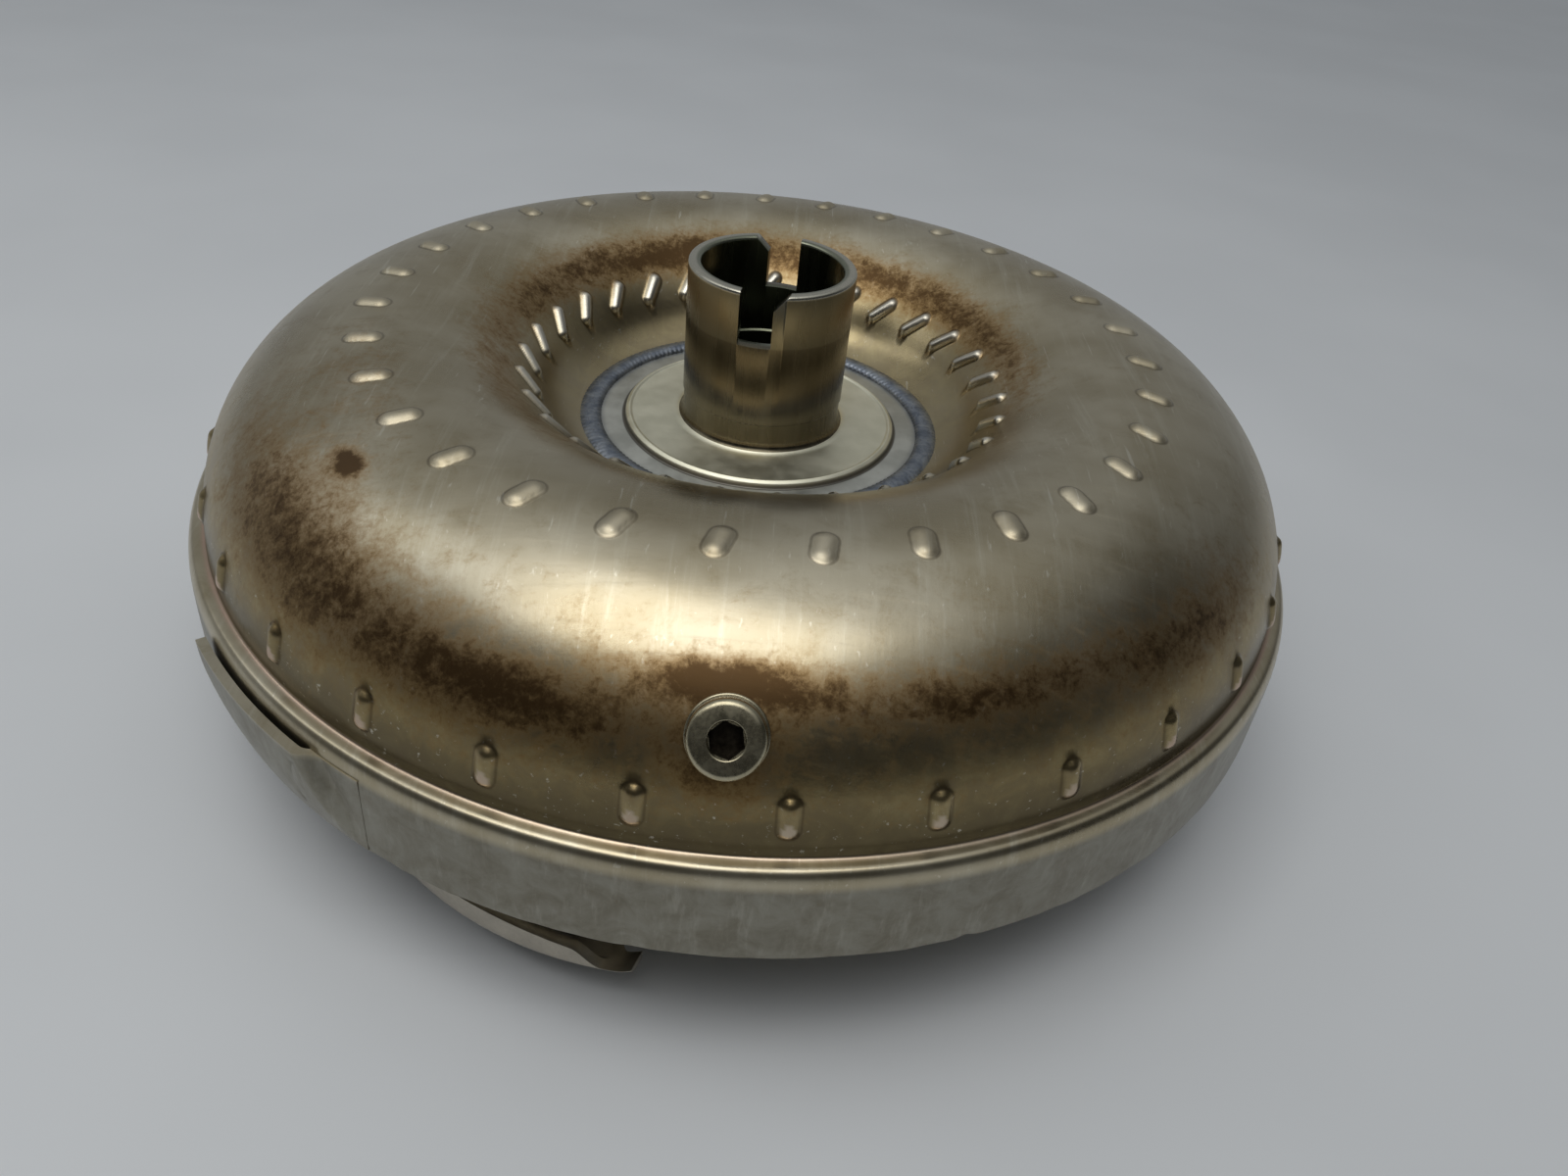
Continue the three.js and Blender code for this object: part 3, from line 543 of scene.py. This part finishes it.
def tab_marks(radius, along, azimuth, centres):
    """Grids over the shell: the marks' height, depth inside their outline, and rubbed shine."""
    height = np.zeros((len(along), len(azimuth)))
    depth, shine = np.zeros_like(height), np.zeros_like(height)
    pitch = 360 / MARKS
    for ring, centre in zip(MARK_RINGS, centres):
        offset = (azimuth - ring["azimuth"] + pitch / 2) % pitch - pitch / 2
        across = np.radians(offset)[None, :] * radius[:, None]
        up = (along - centre)[:, None]
        lean = math.radians(ring["lean"])
        spine = across * math.sin(lean) + up * math.cos(lean)
        half = (ring["length"] - ring["width"]) / 2
        beyond = spine - np.clip(spine, -half, half)
        side = across * math.cos(lean) - up * math.sin(lean)
        distance = np.hypot(beyond, side) / (ring["width"] / 2)
        dome = np.clip(1 - distance ** 2, 0, 1) ** 0.85
        height += ring["height"] * dome
        inside = np.clip(1.5 - distance, 0, 1)
        depth = np.maximum(depth, inside)
        shine = np.maximum(shine, ring["shine"] * np.clip(2 * inside - 1, 0, 1))
    return height, depth, shine


def gaussian(azimuth, angle, at, wide):
    turn = (azimuth - at[0] + 180) % 360 - 180
    return np.exp(-(turn / wide[0]) ** 2 - ((angle - at[1]) / wide[1]) ** 2)


# Patches of burnt varnish: (azimuth, torus angle), half widths in degrees and strength.
STAINS = [
    ((-128, 38), (22, 16), 0.56),
    ((-142, 50), (16, 14), 0.42),
    ((-106, 34), (13, 9), 0.50),
    ((-91, 46), (8, 6), 0.95),
    ((-72, 41), (16, 8), 0.70),
    ((-44, 38), (16, 14), 0.60),
    ((-136.5, 65), (2.6, 3.4), 1.20),
    ((-152, 80), (20, 16), 0.36),
    ((-100, 24), (70, 16), 0.34),
    ((-85, 60), (80, 16), 0.16),
    ((112, 122), (60, 13), 0.80),
    ((30, 126), (46, 12), 0.55),
    ((-150, 120), (50, 12), 0.35),
    ((60, 60), (30, 20), 0.40),
    ((150, 45), (30, 16), 0.60),
    ((95, 36), (24, 14), 0.60),
    ((20, 38), (24, 14), 0.60),
]


def paint(mesh):
    """Writes how much varnish and heat colour each point carries; the varnish layer, heavier low on the
    flank, is partly painted shade.
    """
    count = len(mesh.vertices)
    points = np.empty(count * 3)
    mesh.vertices.foreach_get("co", points)
    x, y, z = (points.reshape(-1, 3) / MM - (0, 0, CREASE)).T
    r = np.hypot(x, y)
    azimuth = np.degrees(np.arctan2(y, x))
    angle = np.degrees(np.arctan2(z / TORUS["high"], (r - TORUS["r"]) / TORUS["out"]))
    stain = np.zeros(count)
    for at, wide, strength in STAINS:
        stain += strength * gaussian(azimuth, angle, at, wide)
    stain += 0.22 * np.exp(-((angle - 128) / 10) ** 2)
    under_plug = np.hypot((azimuth - PLUG["azimuth"]) * 2.3, (angle - PLUG["torus_angle"] + 7) * 0.8)
    stain += 0.5 * np.exp(-(under_plug / 9) ** 2)
    lip = r > LIP_R
    stain = np.where(lip, 0, stain)
    toward_far = 0.5 - 0.5 * np.cos(np.radians(azimuth + 90))
    bowl = 0.75 * np.clip((angle - 104) / 30, 0, 1) * (0.3 + 0.7 * toward_far)
    # Varnish by torus angle: real varnish colour, and also painted shade that grows lower on the flank.
    varnish = np.where(lip, 0, np.clip((54 - angle) / 32, 0, 1) ** 1.3 * (angle > -60) + bowl)
    heat = np.exp(-((r - 50.5) / 5.0) ** 2) * (0.45 + 0.55 * toward_far)
    tint = np.exp(-((r - 137.5) / 0.6) ** 2) * (z > -6) * lip
    tint *= 0.45 + 0.55 * np.clip(np.abs(((azimuth + 85 + 180) % 360) - 180) / 45 - 0.4, 0, 1)
    layers = {"stain": np.clip(stain, 0, 1.3), "varnish": varnish, "heat": heat, "tint": tint}
    for name, values in layers.items():
        layer = mesh.attributes.new(name, "FLOAT", "POINT")
        layer.data.foreach_set("value", values.astype(np.float32))


def louver_sheet(name, azimuth):
    """A lanced strip of the skirt, pushed outwards at its top and cut square at one end."""
    start, bend, end = azimuth - 9.5, azimuth + 9.5, azimuth + 13.5
    across = np.linspace(start, end, 70)
    down = np.linspace(0, 1, 26)
    top, low = -3.6, -SKIRT_DROP + 0.25
    az, fall = np.meshgrid(across, down)
    z = top + (low - top) * fall
    ramp = np.clip((bend + 4.2 * fall - az) / 2.2, 0, 1)
    ramp = ramp * ramp * (3 - 2 * ramp)
    lift = 2.75 * (1 - fall ** 2.2) * ramp
    groove = 0.35 * np.exp(-((az - (bend - 3.2 + 1.6 * (fall - 0.5) ** 2 * 4)) / 0.25) ** 2)
    skin = np.interp(z, [-SKIRT_DROP, -5.6], [142.05, 141.6])
    outer = skin + lift + 0.12 - groove * (fall > 0.15) * (fall < 0.8)
    inner = np.minimum(outer - 2.1, skin - 0.4 + lift)
    sides = []
    for radius in (outer, inner):
        sides.append(np.stack([radius * np.cos(np.radians(az)), radius * np.sin(np.radians(az)), z], -1))
    return plate_between(name, *sides)


def impeller_shell():
    columns = MARKS * 40
    path = shell_outside()
    _, _, length = resampled(path, lambda s: 5)
    centres = mark_centres(path, length)

    def spacing(s):
        near = min(abs(s - c) for c in centres)
        if near < 6:
            return 0.52
        return 0.45 if length[-1] - 27 < s < length[-1] - 18 else 2.0

    outside, along, _ = resampled(path, spacing)
    azimuth = np.linspace(0, 360, columns, endpoint=False)
    height, depth, shine = tab_marks(outside[:, 0], along, azimuth, centres)
    tangent = np.gradient(outside, along, axis=0)
    tangent /= np.linalg.norm(tangent, axis=1)[:, None]
    normal = np.stack([-tangent[:, 1], tangent[:, 0]], 1)
    inside = shell_inside()
    r = np.concatenate([outside[:, 0, None] + height * normal[:, 0, None],
                        np.repeat(inside[:, 0, None], columns, 1)])
    z = np.concatenate([outside[:, 1, None] + height * normal[:, 1, None],
                        np.repeat(inside[:, 1, None], columns, 1)])
    burr = np.interp(azimuth, np.linspace(0, 360, 241), np.tile(rng.normal(0, 0.16, 240), 2)[:241])
    nick = -0.9 * np.exp(-((azimuth - 290) / 0.7) ** 2)
    low = np.clip((-SKIRT_DROP + 2.5 - z) / 2.5, 0, 1)
    z = z + low * (burr - nick)[None, :] * (z < -SKIRT_DROP + 2.5)
    cosine, sine = np.cos(np.radians(azimuth)), np.sin(np.radians(azimuth))
    points = np.stack([r * cosine, r * sine, z], -1)
    shell = new_object("fine_impeller_shell", points, grid_faces(*r.shape, True, True))
    for layer_name, grid in (("mark", depth), ("shine", shine)):
        values = np.concatenate([grid, np.zeros((len(inside), columns))]).ravel()
        layer = shell.data.attributes.new(layer_name, "FLOAT", "POINT")
        layer.data.foreach_set("value", values.astype(np.float32))
    bm = bmesh.new()
    bm.from_mesh(shell.data)
    bmesh.ops.recalc_face_normals(bm, faces=bm.faces)
    bm.to_mesh(shell.data)
    bm.free()
    hole = lathe("hole", [(0, -9), (6.4, -9), (6.4, 5), (0, 5)], 48, plug_frame())
    boolean(shell, hole)
    boolean(shell, louver_sheet("louver", LOUVER), "UNION")
    paint(shell.data)
    smooth(shell, 50)
    steel = MATERIALS["varnished_shell_steel"]
    return put_on(shell, "housing", "varnished_shell_steel", steel, "impeller_shell")


# ---------------------------------------------------------------- drain plug
def plug_frame():
    """The plug's own axes: Z points out of the shell along its normal."""
    angle = math.radians(PLUG["torus_angle"])
    r, z = torus_point(PLUG["torus_angle"])
    rise = math.atan2(math.sin(angle) / TORUS["high"], math.cos(angle) / TORUS["out"])
    place = turned(PLUG["azimuth"]) @ Matrix.Translation((r, 0, z))
    return place @ Matrix.Rotation(math.pi / 2 - rise, 4, "Y")


def drain_plug():
    place = plug_frame()
    bung = lathe("fine_drain_plug_bung", fillet([
        (4.4, -6.5), (6.2, -6.5), (6.2, 0.1, 0.4), (7.45, 0.05), (7.45, 1.25, 0.35), (4.4, 1.25),
    ]), 72, place)
    washer = lathe("fine_drain_plug_washer", fillet([
        (4.4, 1.6), (7.0, 1.6, 0.25), (7.0, 2.55, 0.25), (4.4, 2.55),
    ]), 72, place)
    plug = lathe("fine_drain_plug", fillet([
        (0, -6), (3.3, -6), (4, -5.2, 0.2), (4, 2.9), (6.95, 2.9, 0.2), (6.95, 6.2, 1.2),
        (3.45, 6.35, 0.3), (3.1, 5.9), (0, 5.9),
    ], 6), 72, place)
    corner = 5.8 / 2 / math.cos(math.pi / 6)
    hexagon = [polar(corner, 60 * i + 12) for i in range(6)]
    boolean(plug, prism("socket", hexagon, 1.7, 8, place))
    steel = MATERIALS["plug_steel"]
    for piece in (bung, washer, plug):
        smooth(piece, 38)
        put_on(piece, "housing", "plug_steel", steel, piece.name.removeprefix("fine_"))
    # The hex socket's walls and floor take a near-black material: painted shade inside the recess.
    plug.data.materials.append(MATERIALS["socket_painted_shade"])
    upright = place.inverted()
    for face in plug.data.polygons:
        x, y, z = upright @ (face.center / MM - Vector((0, 0, CREASE)))
        face.material_index = int(math.hypot(x, y) < 3.3 and 1 < z < 5.85)


# ---------------------------------------------------------------- pump hub and its weld
def pump_hub():
    radius, top, flange_start = HUB["r"], HUB["top"], HUB["r"] + 0.8
    hub = lathe("fine_pump_hub", fillet([
        (17, 9.3, 0.3), (17, 30, 0.25), (17.6, 30.35, 0.25), (17.6, top, 0.9), (radius, top, 0.8),
        (radius, 21.9, 0.2), (20.5, 21.6, 0.1), (20.5, 14.25, 2.7), (33.9, 14.35, 0.6),
        (34.6, 14.9, 0.5), (35.6, 14.2, 0.5), (36.0, 13.0, 0.5), (42.8, 13.0, 0.2), (42.8, 10.8),
        (41.3, 9.3),
    ], 5), 192)
    half, floor, above = SLOT["width"] / 2, top - SLOT["deep"], 70
    for azimuth in (SLOT["azimuth"], SLOT["azimuth"] + 180):
        wide = half + SLOT["lead"]
        outline = [(-half, above), (-half, floor), (half, floor), (half, top - SLOT["lead_deep"]),
                   (wide, top), (wide, above)]
        place = turned(azimuth + 90) @ Matrix.Rotation(math.pi / 2, 4, "X")
        boolean(hub, prism("slot", outline, 0, 30, place))
    bevel(hub, 0.22, 2, 50)
    smooth(hub, 35)
    put_on(hub, "housing", "ground_hub_steel", MATERIALS["ground_hub_steel"], "pump_hub")
    hub.data.materials.append(MATERIALS["ground_flange_steel"])
    for face in hub.data.polygons:
        centre = face.center
        face.material_index = int(math.hypot(centre.x, centre.y) > flange_start * MM)


def rippled_ring(name, profile, segments, count, depth):
    """A weld bead: a lathe ring whose surface carries the overlapping ripples of the torch."""
    bead = lathe(name, profile, segments)
    points = np.empty(len(bead.data.vertices) * 3)
    bead.data.vertices.foreach_get("co", points)
    points = points.reshape(-1, 3)
    middle_r, middle_z = np.mean(profile, axis=0)
    r = np.hypot(points[:, 0], points[:, 1])
    turn = np.arctan2(points[:, 1], points[:, 0])
    centre_z = (middle_z + CREASE) * MM
    wave = np.abs(np.sin(turn * count / 2 + (r - middle_r * MM) / MM * 0.55)) ** 0.7 - 0.5
    lift = 1 + depth * wave
    radial = middle_r * MM + (r - middle_r * MM) * lift
    points[:, 0] *= radial / r
    points[:, 1] *= radial / r
    points[:, 2] = centre_z + (points[:, 2] - centre_z) * lift
    bead.data.vertices.foreach_set("co", points.ravel())
    return smooth(bead, 60)


def weld_beads():
    hub_bead = [(42.1, 13.05), (42.4, 13.75), (43.4, 14.25), (44.7, 14.4), (46.0, 14.15), (47.0, 13.75),
                (47.4, 13.35), (46.0, 13.1), (44.0, 12.95)]
    rim_bead = [(138.9, -14.5), (139, -19.5), (137.6, -19.4), (136.6, -18.9), (137.3, -16.4),
                (138.15, -14.5)]
    beads = {
        "hub_weld_bead": (hub_bead, 720, 180, 0.16),
        "rim_weld_bead": (rim_bead, 720, 300, 0.14),
    }
    for node, (profile, segments, count, depth) in beads.items():
        bead = rippled_ring("fine_" + node, profile, segments, count, depth)
        put_on(bead, "housing", "weld_steel", MATERIALS["weld_steel"], node)


# ---------------------------------------------------------------- front cover and crank pilot
def cover_path(start, end, count, grow=0.0):
    """Points on the front cover's rounded wall: 90 degrees is its lowest point, 0 its outer wall."""
    reach, high = COVER["reach"] + grow, COVER["high"] + grow
    return [(COVER["r"] + reach * math.cos(a), COVER["z"] - high * math.sin(a))
            for a in np.radians(np.linspace(start, end, count))]


def front_cover():
    low = COVER["z"] - COVER["high"]
    disc, sheet = COVER["disc"], COVER["sheet"]
    disc_low = low + COVER["step"]
    wall = COVER["r"] + COVER["reach"]
    cover = lathe("fine_front_cover", fillet([
        (0, disc_low), (disc, disc_low, 2.5), (disc + 4, low, 2.5), *cover_path(90, 0, 60),
        (wall, -5.0, 0.5), (wall - 1.2, -3.4, 0.5), (wall - sheet, -3.4, 0.4),
        *cover_path(0, 90, 40, -sheet), (disc + 5, low + sheet, 2), (disc + 1, disc_low + sheet, 2),
        (0, disc_low + sheet),
    ]), 256)
    smooth(cover, 40)
    put_on(cover, "housing", "varnished_shell_steel", MATERIALS["cover_steel"], "front_cover")
    top = disc_low - 0.35
    pilot = lathe("fine_crank_pilot", fillet([
        (0, FLOOR + 4.2), (1.2, FLOOR + 3.0), (3.2, FLOOR + 0.02, 0.3), (17.5, FLOOR, 0.4),
        (19, FLOOR + 1.5, 0.4), (19, top - 3.5, 0.5), (17.6, top - 2.5, 0.8), (17.6, top), (0, top),
    ]), 128)
    smooth(pilot, 40)
    put_on(pilot, "housing", "hardened_steel", MATERIALS["hardened_steel"], "crank_pilot")
    bead = [(17.95, top - 2.2), (18.9, top - 1.9), (19.9, top - 1.0), (20.4, top - 0.05),
            (17.95, top - 0.05)]
    weld = rippled_ring("fine_pilot_weld_bead", bead, 480, 70, 0.12)
    put_on(weld, "housing", "weld_steel", MATERIALS["weld_steel"], "pilot_weld_bead")


# ---------------------------------------------------------------- drive brackets
def drive_bracket(name, place):
    """An L of thick sheet, curved with the rim, whose wall runs down in an S to two flat tips."""
    low, sheet, bend = BRACKET["low"], BRACKET["sheet"], BRACKET["bend"]
    u = np.linspace(-BRACKET["half"], BRACKET["half"], 121)
    reach = np.abs(u)
    edge = BRACKET["edge"] + BRACKET["slope"] * u - u ** 2 / (2 * BRACKET["curve"])
    fall = np.clip((reach - 18.5) / 6.5, 0, 1)
    fall = fall * fall * (3 - 2 * fall)
    crown = BRACKET["top"] - 0.004 * reach ** 2
    top = crown + (low + sheet - crown) * fall
    plate = np.sqrt(BRACKET["inner"] ** 2 - reach ** 2)
    narrow = np.clip((reach - 18) / 10, 0, 1)
    narrow = narrow * narrow * (3 - 2 * narrow)
    inner_edge = plate + (edge - 5 - plate) * narrow
    curl = 0.07 * np.clip(reach - 27, 0, None) ** 2
    flat, turn, rise = np.linspace(0, 1, 6), np.radians(np.linspace(0, 90, 8)), np.linspace(0, 1, 7)[1:]
    grids = []
    for inset, radius in ((0, bend), (sheet, bend - sheet)):
        rows = []
        for i in range(len(u)):
            start, end = inner_edge[i], edge[i] - bend
            v = [*(start + (end - start) * flat), *(end + radius * np.sin(turn[1:])),
                 *(0 * rise + edge[i] - inset)]
            arc = low + inset + radius * (1 - np.cos(turn[1:]))
            z = [*(0 * flat + low + inset), *arc, *(low + bend + (top[i] - low - bend) * rise)]
            z = np.minimum(z, top[i]) + curl[i]
            rows.append(np.stack([0 * z + u[i], v, z], -1))
        grids.append(np.array(rows))
    bracket = plate_between(name, *grids)
    for side in (-1, 1):
        drill = [(0, low - 2), (NUT["hole"], low - 2), (NUT["hole"], low + 6), (0, low + 6)]
        seat = Matrix.Translation((side * NUT["u"], NUT["v"], 0))
        boolean(bracket, lathe("hole", drill, 48, seat))
    bevel(bracket, 0.3, 2, 50)
    bracket.data.transform(place)
    return smooth(bracket, 40)


def drive_nut(name, place):
    """An M8 weld nut: six flats with turned corners and a ridged bore."""
    low, high = 0.0, NUT["height"]
    corner = NUT["flats"] / 2 / math.cos(math.pi / 6)
    nut = prism(name, [polar(corner, 60 * i) for i in range(6)], low, high, place)
    face, wide = NUT["flats"] / 2 - 0.1, corner + 0.4
    cone = [(0, low), (face, low), (wide, low + 1.1), (wide, high - 1.1), (face, high), (0, high)]
    boolean(nut, lathe("cone", cone, 72, place), "INTERSECT")
    pitch, turns = 1.25, 6
    ridges = [(3.4 + 0.6 * (k % 2), -1 + pitch / 2 * k) for k in range(2 * turns)]
    bore = lathe("bore", [(0, -1.01), *ridges, (0, ridges[-1][1] + 0.01)], 40, place)
    boolean(nut, bore)
    return smooth(nut, 30)


def brackets():
    steel, hard, weld = (MATERIALS[n] for n in ("pressed_steel", "hardened_steel", "weld_steel"))
    low = BRACKET["low"]
    for i in range(BRACKETS):
        place = turned(BRACKET["azimuth"] - 90 + i * 360 / BRACKETS)
        bracket = drive_bracket(f"fine_drive_bracket_{i + 1}", place)
        put_on(bracket, "housing", "pressed_steel", steel, f"drive_bracket_{i + 1}")
        for k, side in enumerate((-1, 1)):
            seat = Matrix.Translation((side * NUT["u"], NUT["v"], low + BRACKET["sheet"] + 0.35))
            node = f"drive_nut_{2 * i + 1 + k}"
            nut = drive_nut("fine_" + node, place @ seat)
            put_on(nut, "housing", "hardened_steel", hard, node)
        bead = fillet([
            (108.4, low + 0.7, 0.8), (111.15, low + 0.7), (111.15, -38.4, 0.8), (109.2, -38.4, 1.2),
        ])
        weld_bead = lathe(f"fine_bracket_weld_{i + 1}", bead, 60, place, span=(81, 99))
        smooth(weld_bead, 50)
        put_on(weld_bead, "housing", "weld_steel", weld, f"bracket_weld_{i + 1}")


# ---------------------------------------------------------------- camera, light and floor
def camera():
    """The photograph's viewing angle: close, a little above, with a slight roll."""
    distance, elevation = 307.6, math.radians(30.74)
    yaw, pitch, roll = (math.radians(a) for a in (-2.05, -6.5, 5.35))
    place = Vector((0, -distance * math.cos(elevation), distance * math.sin(elevation)))
    back = place.normalized()
    right = Vector((0, 0, 1)).cross(back).normalized()
    level = Matrix((right, back.cross(right), back)).transposed()
    turn = Matrix.Rotation(yaw, 3, "Y") @ Matrix.Rotation(pitch, 3, "X") @ Matrix.Rotation(roll, 3, "Z")
    data = bpy.data.cameras.new("camera")
    data.lens, data.sensor_width = 25.46, 36
    data.clip_start, data.clip_end = 0.01, 50
    cam = bpy.data.objects.new("camera", data)
    bpy.context.scene.collection.objects.link(cam)
    standing = Matrix.Translation((place + Vector((0, 0, CREASE))) * MM)
    cam.matrix_world = standing @ (level @ turn).to_4x4()
    bpy.context.scene.camera = cam


def soft_light(name, place, aim, size, watts, tint=(1, 1, 1)):
    data = bpy.data.lights.new(name, "AREA")
    data.shape, data.size, data.size_y = "RECTANGLE", *size
    data.energy, data.color = watts, tint
    lamp = bpy.data.objects.new(name, data)
    lamp.location = place
    lamp.rotation_euler = (Vector(aim) - Vector(place)).to_track_quat("-Z", "Y").to_euler()
    bpy.context.scene.collection.objects.link(lamp)


def studio():
    floor = lathe("floor", [(0, FLOOR), (4000, FLOOR), (4000, FLOOR - 20), (0, FLOOR - 20)], 64)
    floor.data.materials.append(floor_paint())
    room_light()
    soft_light("key", (-0.15, -0.30, 1.10), (0, -0.05, 0.08), (0.9, 0.7), 4.1, (1, 0.99, 0.96))
    soft_light("window", (-1.0, 0.1, 1.0), (0, 0, 0.05), (0.5, 0.7), 0.9, (0.95, 0.98, 1))


def room_light():
    """A plain room: pale behind the object, dim in front of it, brighter overhead."""
    world = bpy.data.worlds.new("studio")
    bpy.context.scene.world = world
    world.use_nodes = True
    nodes, links = world.node_tree.nodes, world.node_tree.links
    direction = nodes.new("ShaderNodeTexCoord").outputs["Generated"]

    def toward(axis, start, end, low, high):
        along = nodes.new("ShaderNodeVectorMath")
        along.operation = "DOT_PRODUCT"
        along.inputs[1].default_value = axis
        links.new(direction, along.inputs[0])
        spread = nodes.new("ShaderNodeMapRange")
        spread.interpolation_type = "SMOOTHSTEP"
        for key, value in (("From Min", start), ("From Max", end), ("To Min", low), ("To Max", high)):
            spread.inputs[key].default_value = value
        links.new(along.outputs["Value"], spread.inputs["Value"])
        return spread.outputs["Result"]

    total = nodes.new("ShaderNodeMath")
    links.new(toward((-0.35, 0.93, 0), -0.3, 0.75, 0.045, 0.27), total.inputs[0])
    links.new(toward((0, 0, 1), 0.6, 0.97, 0.0, 0.42), total.inputs[1])
    background = nodes["Background"]
    background.inputs["Color"].default_value = (0.93, 0.97, 1.0, 1)
    links.new(total.outputs[0], background.inputs["Strength"])


# ---------------------------------------------------------------- put it together
camera()
impeller_shell()
drain_plug()
pump_hub()
weld_beads()
front_cover()
brackets()

nodes = frame["nodes"]
slots = {part["node"]: part["material_slot"] for part in frame["record"]["subparts"]}
for name, obj in nodes.items():
    obj.data.materials.clear()
    obj.data.materials.append(MATERIALS[slots[name]])

studio()
bpy.context.scene.view_settings.view_transform = "Standard"
